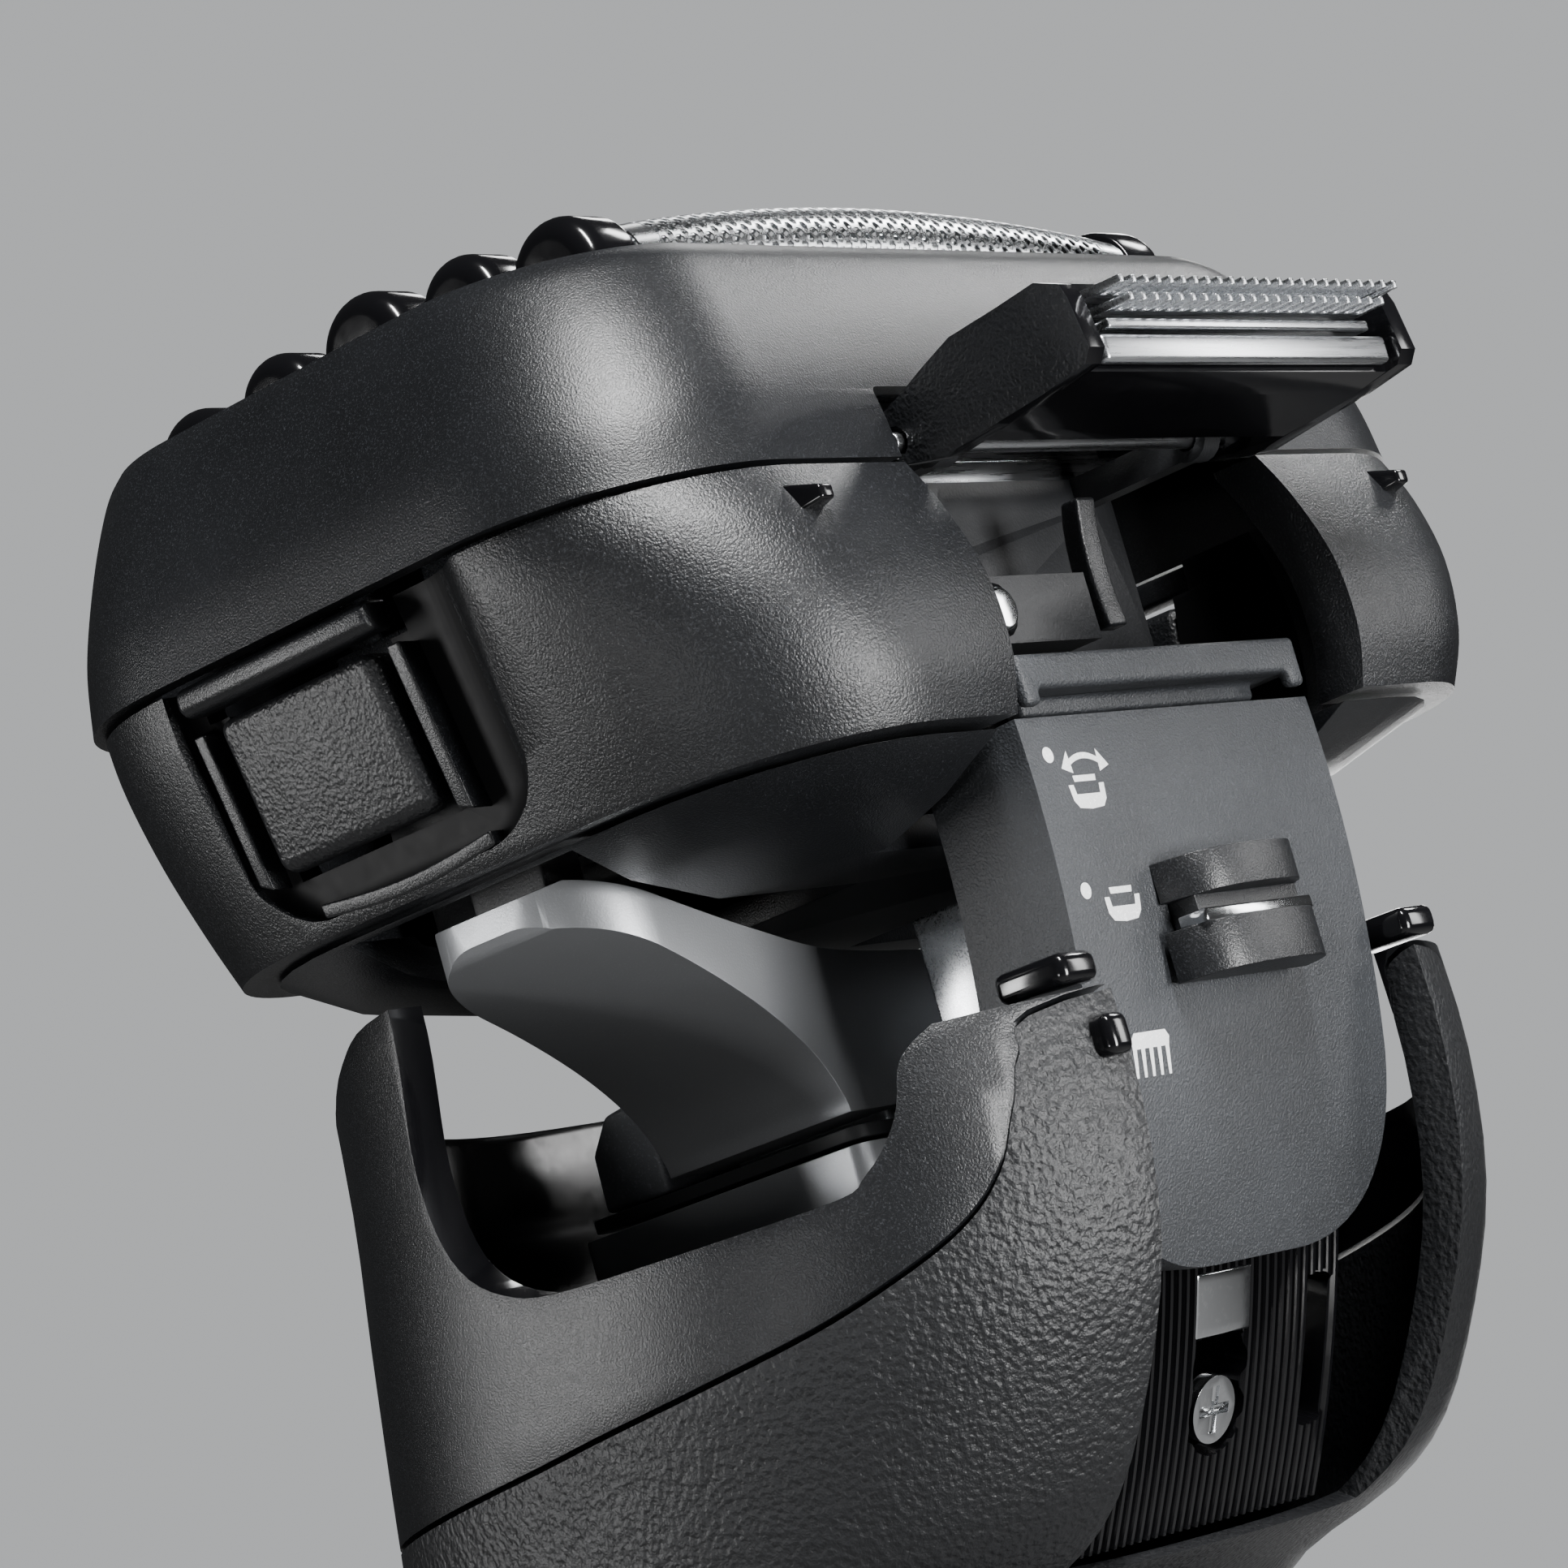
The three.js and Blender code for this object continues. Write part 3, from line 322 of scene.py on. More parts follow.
def make_materials():
    """Every finish of the shaver, by its slot-like name."""
    shell = tint("shell")
    return {
        # Moulded ABS with a fine spark texture: deep black, soft wide highlights, tiny painted glint specks
        # on the grain
        "satin_abs": grained("abs_satin_moulded", shell, 0.34, 0.2, 0.03, painted_glints=2.6, IOR=1.5),
        # The same ABS from a coarser mould: the lower housing sparkles more
        "spark_abs": grained("abs_spark_eroded", shell, 0.35, 0.26, 0.05, painted_glints=2.5, IOR=1.5),
        # ABS with leather grain: pressed cells that catch light singly, with painted shade and highlight in
        # their relief
        "leather_abs": cell_grained("abs_leather_grain", shell, 0.36, 0.25, 0.045, IOR=1.5),
        # Elastomer moulded over the grip: dry, coarse grain, with the same painted shade and highlight in its
        # cells
        "elastomer": cell_grained("elastomer_coarse_grain", tint("grip"), 0.44, 0.42, 0.085, IOR=1.48),
        # Polycarbonate of the slider: dry matte grey with a fine even grain
        "matte_slider": grained("polycarbonate_matte_grain", tint("slider"),
                                0.48, 0.26, 0.07, painted_glints=0.9, IOR=1.5),
        # Polished ABS of liners and rails: mirror black
        "gloss": polished("abs_polished_black", linear("#0c0c0e"), 0.08, IOR=1.52),
        # The same ABS, duller and painted darker inside the button trays: painted shade in the recesses
        "recess": polished("abs_dull_recess", linear("#0a0a0c"), 0.5, IOR=1.3),
        # Smoked acrylic window over the display
        "lens": polished("acrylic_smoked", linear("#060608"), 0.04, IOR=1.49, Coat_Weight=0.6),
        # Zinc casting with satin silver plating: broad bright sweeps
        "silver": grained("zinc_satin_silver", tint("silver"),
                          0.42, 0.2, 0.008, 0.06, 0.04, 0.1, Metallic=0.8),
        # Brushed stainless steel, lines along the width
        "steel": brushed("stainless_brushed", linear("#c9cbce"), 0.26, (0.03, 1.0, 1.0)),
        # Electroformed nickel of the foils: bright and thin
        "nickel": grained("nickel_electroformed", linear("#cfd1d3"),
                          0.24, 0.3, 0.002, 0.05, 0.05, 0.1, Metallic=1.0),
        # Chromed screw heads
        "chrome": grained("steel_chromed", linear("#d6d8da"),
                          0.14, 0.6, 0.002, 0.05, 0.05, 0.1, Metallic=1.0),
        # Glass-filled nylon of brackets: dark grey, dry, with its grey darkened further as painted shade for
        # the deep housing bay
        "nylon": grained("nylon_glass_filled", linear("#18191b"), 0.5, 0.3, 0.02, IOR=1.53),
        # Dark rubber seal around the neck
        "rubber": grained("rubber_seal", linear("#17181a"), 0.6, 0.4, 0.01, IOR=1.5),
        # Grey acetal block under the yoke, coarse mould
        "acetal": grained("acetal_grey", linear("#6b6d71"), 0.5, 0.3, 0.03, IOR=1.48),
        # Pad-printed ink: thin, matte and slightly uneven
        "ink": grained("ink_pad_printed", tint("ink"), 0.6, 0.25, 0.004, 0.1, 0.1),
        # Solder mask over glass-epoxy board
        "board": grained("epoxy_board_green", linear("#1d5a34"), 0.4, 0.8, 0.01, IOR=1.5),
        # Shrink film around the cell
        "film": polished("pvc_shrink_film", linear("#2d4f7c"), 0.2, IOR=1.53),
    }


# Modelling helpers


def deselect():
    if bpy.context.mode != "OBJECT":
        bpy.ops.object.mode_set(mode="OBJECT")
    bpy.ops.object.select_all(action="DESELECT")


def activate(piece):
    deselect()
    piece.select_set(True)
    bpy.context.view_layer.objects.active = piece


def edit(piece, mode="VERT"):
    activate(piece)
    bpy.ops.object.mode_set(mode="EDIT")
    bpy.ops.mesh.select_mode(type=mode)
    bpy.ops.mesh.select_all(action="SELECT")


def leave():
    bpy.ops.object.mode_set(mode="OBJECT")


def face_outwards(piece):
    edit(piece)
    bpy.ops.mesh.normals_make_consistent(inside=False)
    leave()


def apply_modifier(piece, kind, **settings):
    activate(piece)
    modifier = piece.modifiers.new(kind.title(), kind)
    for key, value in settings.items():
        setattr(modifier, key, value)
    bpy.ops.object.modifier_apply(modifier=modifier.name)
    return piece


def ring(points, fill="NOTHING"):
    """A closed outline through the given points, made from a circle."""
    deselect()
    bpy.ops.mesh.primitive_circle_add(vertices=len(points), radius=1, fill_type=fill)
    outline = bpy.context.object
    for vertex, place in zip(outline.data.vertices, points):
        vertex.co = place
    return outline


PLANES = {
    "X": lambda a, b, c: (c, a, b),
    "Y": lambda a, b, c: (a, c, b),
    "Z": lambda a, b, c: (a, b, c),
}


def pulled(outline, axis, low, high):
    """A flat outline pulled straight along an axis, from low to high."""
    place = PLANES[axis]
    piece = ring([place(a, b, low) for a, b in outline], "NGON")
    edit(piece)
    bpy.ops.mesh.extrude_region_move(TRANSFORM_OT_translate={"value": place(0, 0, high - low)})
    leave()
    face_outwards(piece)
    return piece


def block(x0, x1, y0, y1, z0, z1):
    deselect()
    middle = ((x0 + x1) / 2, (y0 + y1) / 2, (z0 + z1) / 2)
    bpy.ops.mesh.primitive_cube_add(size=1, location=middle, scale=(x1 - x0, y1 - y0, z1 - z0))
    bpy.ops.object.transform_apply(location=True, rotation=True, scale=True)
    return bpy.context.object


def rod(radius, start, end, sides=48):
    start, end = Vector(start), Vector(end)
    deselect()
    bpy.ops.mesh.primitive_cylinder_add(vertices=sides, radius=radius, depth=(end - start).length)
    piece = bpy.context.object
    piece.rotation_euler = (end - start).to_track_quat("Z", "Y").to_euler()
    piece.location = (start + end) / 2
    bpy.ops.object.transform_apply(location=True, rotation=True, scale=True)
    return piece


def combine(piece, tool, how):
    """DIFFERENCE, UNION or INTERSECT of a piece with a tool that is used up."""
    apply_modifier(piece, "BOOLEAN", operation=how, object=tool, solver="EXACT")
    bpy.data.objects.remove(tool)
    return piece


def cut(piece, *tools):
    for tool in tools:
        combine(piece, tool, "DIFFERENCE")
    return piece


def join(piece, *others):
    for other in others:
        combine(piece, other, "UNION")
    return piece


def smooth_line(points, steps):
    """More points along a line, on a curve that passes through each given point."""
    last = len(points) - 1
    result = []
    for i in range(last):
        p = [points[min(max(i + k, 0), last)] for k in (-1, 0, 1, 2)]
        for step in range(steps):
            t = step / steps
            result.append(tuple(
                0.5 * (2 * b + (c - a) * t + (2 * a - 5 * b + 4 * c - d) * t * t
                       + (3 * b - a - 3 * c + d) * t ** 3)
                for a, b, c, d in zip(*p)))
    result.append(tuple(points[-1]))
    return result


def oval_section(power=2.5, count=112):
    """The handle's outline, of unit half width and depth."""
    points = []
    for i in range(count):
        angle = (i + 0.5) / count * math.tau
        c, s = math.cos(angle), math.sin(angle)
        points.append((math.copysign(abs(c) ** (2 / power), c), math.copysign(abs(s) ** (2 / power), s)))
    return points


def round_rectangle(half_x, half_y, radius_x, radius_y, steps):
    """A rectangle about the middle, with round or oval corners."""
    points = []
    for turn, sx, sy in ((0, 1, 1), (1, -1, 1), (2, -1, -1), (3, 1, -1)):
        for i in range(steps + 1):
            angle = (turn + i / steps) * math.pi / 2
            points.append((sx * (half_x - radius_x) + radius_x * math.cos(angle),
                           sy * (half_y - radius_y) + radius_y * math.sin(angle)))
    return points


def corner_section(steps=20):
    """The head's outline, of unit half width and depth."""
    return round_rectangle(1, 1, *HEAD_CORNER, steps)


def tower(section, rows, inset=0.0):
    """One outline drawn up through rows of height, half width, back and front."""
    def sized(row):
        z, half, back, front = row
        return half - inset, (back - front) / 2 - inset, (back + front) / 2, z

    half, deep, middle, z = sized(rows[0])
    piece = ring([(x * half, middle + y * deep, z) for x, y in section])
    edit(piece)
    for row in rows[1:]:
        new_half, new_deep, new_middle, new_z = sized(row)
        bpy.ops.mesh.extrude_region_move(
            TRANSFORM_OT_translate={"value": (0, new_middle - middle, new_z - z)})
        bpy.ops.transform.resize(value=(new_half / half, new_deep / deep, 1),
                                 center_override=(0, new_middle, new_z))
        half, deep, middle, z = new_half, new_deep, new_middle, new_z
    bpy.ops.mesh.select_all(action="SELECT")
    bpy.ops.mesh.fill_holes(sides=0)
    leave()
    face_outwards(piece)
    return piece


def longer(rows, below, above):
    first, last = rows[0], rows[-1]
    return [(first[0] - below, *first[1:]), *rows[1:-1], (last[0] + above, *last[1:])]


def from_node(node):
    """A copy of a frame node as a clean mesh of its own, in millimetres from the datum."""
    source = NODES[node]
    piece = bpy.data.objects.new(node + "_look", source.data.copy())
    bpy.context.scene.collection.objects.link(piece)
    piece.data.materials.clear()
    piece.data.transform(Matrix.Scale(1 / MM, 4) @ Matrix.Translation(-DATUM))
    edit(piece)
    bpy.ops.mesh.remove_doubles(threshold=0.0005)
    bpy.ops.mesh.dissolve_limited(angle_limit=math.radians(0.6))
    leave()
    return piece


def round_edges(piece, width, segments=3, angle=35):
    return apply_modifier(piece, "BEVEL", width=width, segments=segments, limit_method="ANGLE",
                          angle_limit=math.radians(angle), miter_outer="MITER_ARC")


def clean(piece, distance=0.004):
    edit(piece)
    bpy.ops.mesh.remove_doubles(threshold=distance)
    bpy.ops.mesh.dissolve_degenerate(threshold=distance)
    leave()
    return piece


def select_faces(piece, chosen):
    """Edit mode with only the faces that pass a test."""
    edit(piece, "FACE")
    bpy.ops.mesh.select_all(action="DESELECT")
    leave()
    for face in piece.data.polygons:
        face.select = chosen(face)
    activate(piece)
    bpy.ops.object.mode_set(mode="EDIT")


def deliver(piece, name, finish, body, slot, *stands_for, smooth=38):
    """Brings a piece to metres in its place, gives it its finish and ties it to its body."""
    activate(piece)
    piece.name = name
    piece.data.name = name
    piece.data.transform(Matrix.Translation(DATUM) @ Matrix.Scale(MM, 4))
    bpy.ops.object.transform_apply(location=True, rotation=True, scale=True)
    bpy.ops.object.shade_smooth_by_angle(angle=math.radians(smooth))
    piece.data.materials.clear()
    piece.data.materials.append(FINISHES[finish])
    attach(piece, body)
    if stands_for:
        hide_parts(*stands_for)
    return piece


def dress(node, name, finish, body, slot, width, segments=3, angle=35):
    """A node's own shape with its edges rounded, delivered in its place."""
    piece = from_node(node)
    round_edges(piece, width, segments, angle)
    return deliver(piece, name, finish, body, slot, node)


def on_side(piece, sign):
    """The piece itself on the left, or turned into its mirror image on the right."""
    if sign < 0:
        piece.data.transform(Matrix.Scale(-1, 4, (1, 0, 0)))
        face_outwards(piece)
    return piece


def spread_out(sign, inner, outer):
    """Two distances from the middle as a low and a high x on one side."""
    return sorted((sign * inner, sign * outer))


def arc_point(radius, angle):
    return (ARC_CENTRE[0] + radius * math.cos(angle), ARC_CENTRE[1] - radius * math.sin(angle))


def arc_angle(z, radius=SLIDER_ARC):
    return math.asin((ARC_CENTRE[1] - z) / radius)


def arc_strip(inner, outer, start, end, steps=40):
    angles = [start + (end - start) * i / steps for i in range(steps + 1)]
    return [arc_point(outer, a) for a in angles] + [arc_point(inner, a) for a in reversed(angles)]


FINISHES = {}
SIDES = (("left", 1), ("right", -1))


class SHAVER_OT_stage(bpy.types.Operator):
    """Pale floor and backdrop, soft lamps and the camera"""

    bl_idname = "shaver.stage"
    bl_label = "Stage, lamps and camera"

    def execute(self, context):
        deselect()
        bpy.ops.mesh.primitive_circle_add(vertices=96, radius=3.0, fill_type="NGON")
        stage = bpy.context.object
        stage.name = "studio_floor"
        bpy.ops.object.shade_smooth()
        paper, tree, shader, place = new_material("studio_paper", Roughness=0.9)
        fibre = add(tree, "TexNoise", {"Scale": 30.0, "Detail": 3.0}, Vector=place)
        tone = ramp_between(tree, fibre.outputs["Fac"], linear("#d9d9d8"), linear("#e4e4e3"), 0.3, 0.7)
        # the paper looks pale where the lamps don't reach, and throws little light up at the shaver
        seen = add(tree, "LightPath")
        seen_by_light = add(tree, "Math", {"operation": "SUBTRACT"})
        seen_by_light.inputs[0].default_value = 1.0
        tree.links.new(seen.outputs["Is Camera Ray"], seen_by_light.inputs[1])
        under_light = mixed(tree, seen_by_light.outputs["Value"], tone.outputs["Color"], linear("#7e7e7e"))
        paint(tree, shader, under_light)
        lift = add(tree, "MapRange", {"To Min": 0.0, "To Max": 0.42}, Value=seen.outputs["Is Camera Ray"])
        tree.links.new(tone.outputs["Color"], shader.inputs["Emission Color"])
        tree.links.new(lift.outputs["Result"], shader.inputs["Emission Strength"])
        stage.data.materials.append(paper)

        world = bpy.data.worlds.new("studio_air")
        context.scene.world = world
        world.use_nodes = True
        # the air is pale where it is seen, and fills the shadows only a little
        sky = world.node_tree
        path = add(sky, "LightPath")
        seen_level = {"To Min": 0.035, "To Max": 0.6}
        level = add(sky, "MapRange", seen_level, Value=path.outputs["Is Camera Ray"])
        sky.nodes["Background"].inputs["Color"].default_value = linear("#eceef0")
        sky.links.new(level.outputs["Result"], sky.nodes["Background"].inputs["Strength"])

        # name, azimuth, height, distance, width, height of the lamp, power, aim
        lamps = (
            ("key", 64, 0.66, 0.42, 0.04, 0.4, 2.1, (0, 0.0, 0.15)),
            ("low_back", 92, 0.05, 0.36, 0.12, 0.16, 0.42, (0.01, 0.03, 0.14)),
            ("low_side", 8, 0.03, 0.40, 0.08, 0.08, 0.04, (0.02, 0.0, 0.13)),
            ("side", -40, 0.16, 0.5, 0.08, 0.24, 0.22, (0, 0.0, 0.12)),
            ("back", 138, 0.20, 0.5, 0.10, 0.2, 0.11, (0, 0.0, 0.12)),
            ("rim", 208, 0.25, 0.5, 0.06, 0.5, 0.15, (0, 0.0, 0.12)),
            ("foil", 168, 0.50, 0.45, 0.10, 0.10, 0.12, (0, 0.02, 0.165)),
        )
        for name, azimuth, height, distance, wide, tall, power, aim in lamps:
            lamp = bpy.data.lights.new("lamp_" + name, "AREA")
            lamp.shape, lamp.spread = "RECTANGLE", math.radians(70)
            lamp.size, lamp.size_y, lamp.energy = wide, tall, power
            holder = bpy.data.objects.new("lamp_" + name, lamp)
            context.scene.collection.objects.link(holder)
            turn = math.radians(azimuth)
            holder.location = (distance * math.cos(turn), distance * math.sin(turn), height)
            holder.rotation_euler = (Vector(aim) - holder.location).to_track_quat("-Z", "Y").to_euler()

        camera = bpy.data.cameras.new("camera")
        camera.lens, camera.sensor_width, camera.clip_start = 126.708, 36.0, 0.01
        holder = bpy.data.objects.new("camera", camera)
        context.scene.collection.objects.link(holder)
        holder.location = (0.22829, 0.19482, 0.09298)
        holder.rotation_euler = [math.radians(a) for a in (99.3937, 15.7538, 131.81)]
        context.scene.camera = holder
        return {"FINISHED"}


class SHAVER_OT_shells(bpy.types.Operator):
    """Upper shell and grip shell of the handle"""

    bl_idname = "shaver.shells"
    bl_label = "Handle shells"

    def execute(self, context):
        rows = smooth_line(HANDLE_ROWS, 3)
        section = oval_section()
        start, end = arc_angle(SLIDER_TOP) - 0.33, arc_angle(SLIDER_BOTTOM) + SLIDER_TRAVEL + 0.012
        channel_line = arc_strip(GUIDE_OUTER - GUIDE_THICK - GAP, SLIDER_ARC + 20, start, end)
        channel = pulled(channel_line, "X", -CHANNEL_HALF, CHANNEL_HALF)
        upper = cut(tower(section, rows), tower(section, longer(rows, 2, 4), SHELL_WALL), channel)
        lower = bpy.data.objects.new("grip", upper.data.copy())
        context.scene.collection.objects.link(lower)
        mouth = smooth_line(MOUTH_LINE[:11], 5) + MOUTH_LINE[11:]
        seam = smooth_line(SEAM_LINE, 5)
        rim = [FRONT_RIM_LINE[0]] + smooth_line(FRONT_RIM_LINE[1:6], 4) + [FRONT_RIM_LINE[6]]

        def below_seam(drop):
            """Everything under the seam between the two shells, lowered by a gap."""
            return pulled([(y, z - drop) for y, z in seam] + [(-60, -150), (12, -150)], "X", -40, 40)

        below = below_seam(0.0)
        cut(upper, pulled(mouth, "X", -50, 50), pulled(rim, "X", -50, 50), below)
        clean(upper)
        round_edges(upper, mm("shell_edge"), 3, 50)
        deliver(upper, "upper_handle_shell", "satin_abs", "handle", "satin_black", "top_shell")
        # its inside is polished
        upper.data.materials.append(FINISHES["gloss"])
        for face in upper.data.polygons:
            spoke = face.center - DATUM - Vector((0, -0.024, 0))
            if face.normal.x * spoke.x + face.normal.y * spoke.y < 0:
                face.material_index = 1

        combine(lower, below_seam(GAP), "INTERSECT")
        combine(lower, block(-50, 50, -80, 30, BASE_SEAM, 20), "INTERSECT")
        half, (low, high) = PANEL_HALF + GAP, PANEL_SPAN
        bed = block(-half, half, -70, -40, low - GAP, high + GAP)
        cut(bed, tower(section, rows, PANEL_THICK + GAP))
        cut(lower, pulled(mouth, "X", -50, 50), bed, rod(POWER_HOLE, (0, -70, POWER_Z), (0, -40, POWER_Z)))
        clean(lower)
        round_edges(lower, mm("shell_edge"), 3, 50)
        mark = block(13.4, 15.2, 0.6, 2.1, -18.9, -16.8)
        round_edges(mark, 0.5, 4, 30)
        deliver(mark, "index_mark", "gloss", "handle", "gloss_black")
        deliver(lower, "grip", "elastomer", "handle", "grip_elastomer", "grip_shell")
        return {"FINISHED"}


class SHAVER_OT_front(bpy.types.Operator):
    """Front panel, display window, power button and base"""

    bl_idname = "shaver.front"
    bl_label = "Front panel and base"

    def front_skin(self, half, span):
        """The part of the handle's skin within a width and a height."""
        rows, section = smooth_line(HANDLE_ROWS, 3), oval_section()
        skin = cut(tower(section, rows), tower(section, longer(rows, 1, 1), PANEL_THICK))
        return combine(skin, block(-half, half, -70, -40, *span), "INTERSECT")

    def execute(self, context):
        panel = self.front_skin(PANEL_HALF, PANEL_SPAN)
        window_hole = block(-DISPLAY_HALF - GAP, DISPLAY_HALF + GAP, -70, -40,
                            DISPLAY_SPAN[0] - GAP, DISPLAY_SPAN[1] + GAP)
        cut(panel, window_hole, rod(POWER_HOLE, (0, -70, POWER_Z), (0, -40, POWER_Z)))
        round_edges(clean(panel), 0.25, 3, 40)
        deliver(panel, "front_panel_gloss", "gloss", "handle", "gloss_black", "front_panel")
        window = self.front_skin(DISPLAY_HALF, DISPLAY_SPAN)
        round_edges(clean(window), 0.2, 3, 40)
        deliver(window, "display_glass", "lens", "handle", "lens_black", "display_window")

        button = from_node("power_button")
        round_edges(button, 0.35, 4, 40)
        front = min(button.data.polygons, key=lambda face: face.center.y).index
        button.data.polygons.active = front
        select_faces(button, lambda face: face.index == front)
        bpy.ops.mesh.select_mode(type="FACE")
        bpy.ops.mesh.inset(thickness=1.1)
        bpy.ops.mesh.inset(thickness=0.35, depth=-0.25)
        leave()
        deliver(button, "power_key", "steel", "power_button", "steel", "power_button")

        dress("base_cap", "base_end", "satin_abs", "handle", "satin_black", 0.5, 4, 40)
        for side, _ in SIDES:
            dress("charging_contact_" + side, "base_contact_" + side, "chrome", "handle", "steel",
                  0.2, 3, 40)
        return {"FINISHED"}


class SHAVER_OT_guide(bpy.types.Operator):
    """Ribbed guide panel under the slider, with its screw and tabs"""

    bl_idname = "shaver.guide"
    bl_label = "Guide panel"

    def rib_profile(self, inner, pitch):
        """The panel's cross section as (x, radius), with one rib every pitch."""
        foot = GUIDE_OUTER - 0.25
        count = int(GUIDE_HALF * 2 / pitch)
        profile = [(-GUIDE_HALF, inner), (-GUIDE_HALF, foot)]
        for i in range(count):
            left = (i - count / 2) * pitch
            profile += [(left + pitch * 0.12, foot), (left + pitch * 0.28, GUIDE_OUTER),
                        (left + pitch * 0.62, GUIDE_OUTER), (left + pitch * 0.78, foot)]
        return profile + [(GUIDE_HALF, foot), (GUIDE_HALF, inner)]

    def radial(self, distance, angle=SCREW_ANGLE):
        """A place over or under the panel's face, in the middle plane."""
        return (0.0, *arc_point(GUIDE_OUTER + distance, angle))

    def execute(self, context):
        radial = self.radial
        inner = GUIDE_OUTER - GUIDE_THICK
        first, last = 0.17, arc_angle(SLIDER_BOTTOM) + SLIDER_TRAVEL + 0.006
        profile = self.rib_profile(inner, mm("rib_pitch"))
        panel = ring([(x, *arc_point(radius, first)) for x, radius in profile], "NGON")
        edit(panel)
        bpy.ops.mesh.spin(steps=30, angle=last - first, center=(0, *ARC_CENTRE), axis=(1, 0, 0))
        leave()
        edit(panel)
        bpy.ops.mesh.remove_doubles(threshold=0.0005)
        bpy.ops.mesh.normals_make_consistent(inside=False)
        leave()
        slot_arc = arc_strip(inner - 4, GUIDE_OUTER + 3, 0.385, 0.505, 8)
        slots = [pulled(slot_arc, "X", x - 1.1, x + 1.1) for x in (-8.6, 8.6)]
        for slot in slots:
            round_edges(slot, 0.7, 5, 60)
        recess = rod(2.4, radial(-3), radial(3), 40)
        above = SCREW_ANGLE - 0.035
        join(recess, rod(2.4, radial(-3, above), radial(3, above), 40))
        cut(panel, *slots, recess)
        deliver(panel, "ribbed_guide", "gloss", "handle", "gloss_black", "guide_panel", smooth=25)

        screw = rod(1.8, radial(-0.95), radial(-0.15), 40)
        cut(screw, rod(0.42, radial(-0.6), radial(0.3), 20))
        middle = Vector(radial(-0.2))
        along = (Vector(radial(0, SCREW_ANGLE + 0.02)) - Vector(radial(0, SCREW_ANGLE - 0.02))).normalized()
        for axis in (Vector((1, 0, 0)), along):
            cut(screw, rod(0.3, middle - axis * 1.25, middle + axis * 1.25, 16))
        round_edges(clean(screw, 0.002), 0.12, 3, 50)
        deliver(screw, "guide_screw", "chrome", "handle", "steel", "panel_screw")

        start = arc_angle(SLIDER_BOTTOM) + 0.012
        strip = arc_strip(GUIDE_OUTER - 1.0, GUIDE_OUTER + 0.05, start, start + 0.05, 6)
        plate = pulled(strip, "X", -2.4, 2.4)
        round_edges(plate, 0.15, 3, 50)
        deliver(plate, "guide_plate", "chrome", "handle", "steel")
        dress("guide_block", "spring_block", "steel", "handle", "steel", mm("small_edge"))
        for side, _ in SIDES:
            dress("rim_tab_" + side, "rim_lip_" + side, "gloss", "handle", "gloss_black", 0.55, 4)
        return {"FINISHED"}


class SHAVER_OT_neck(bpy.types.Operator):
    """Collar, seal, tray and block under the yoke"""

    bl_idname = "shaver.neck"
    bl_label = "Neck"

    def execute(self, context):
        for node, name, finish, slot, width in (
                ("neck_collar", "collar_ring", "silver", "satin_silver", 0.35),
                ("collar_seal", "seal_ring", "rubber", "slate", 0.15),
                ("neck_tray", "neck_floor", "gloss", "gloss_black", 0.2),
                ("neck_block", "grey_block", "acetal", "grey", 0.35)):
            dress(node, name, finish, "handle", slot, width)
        return {"FINISHED"}


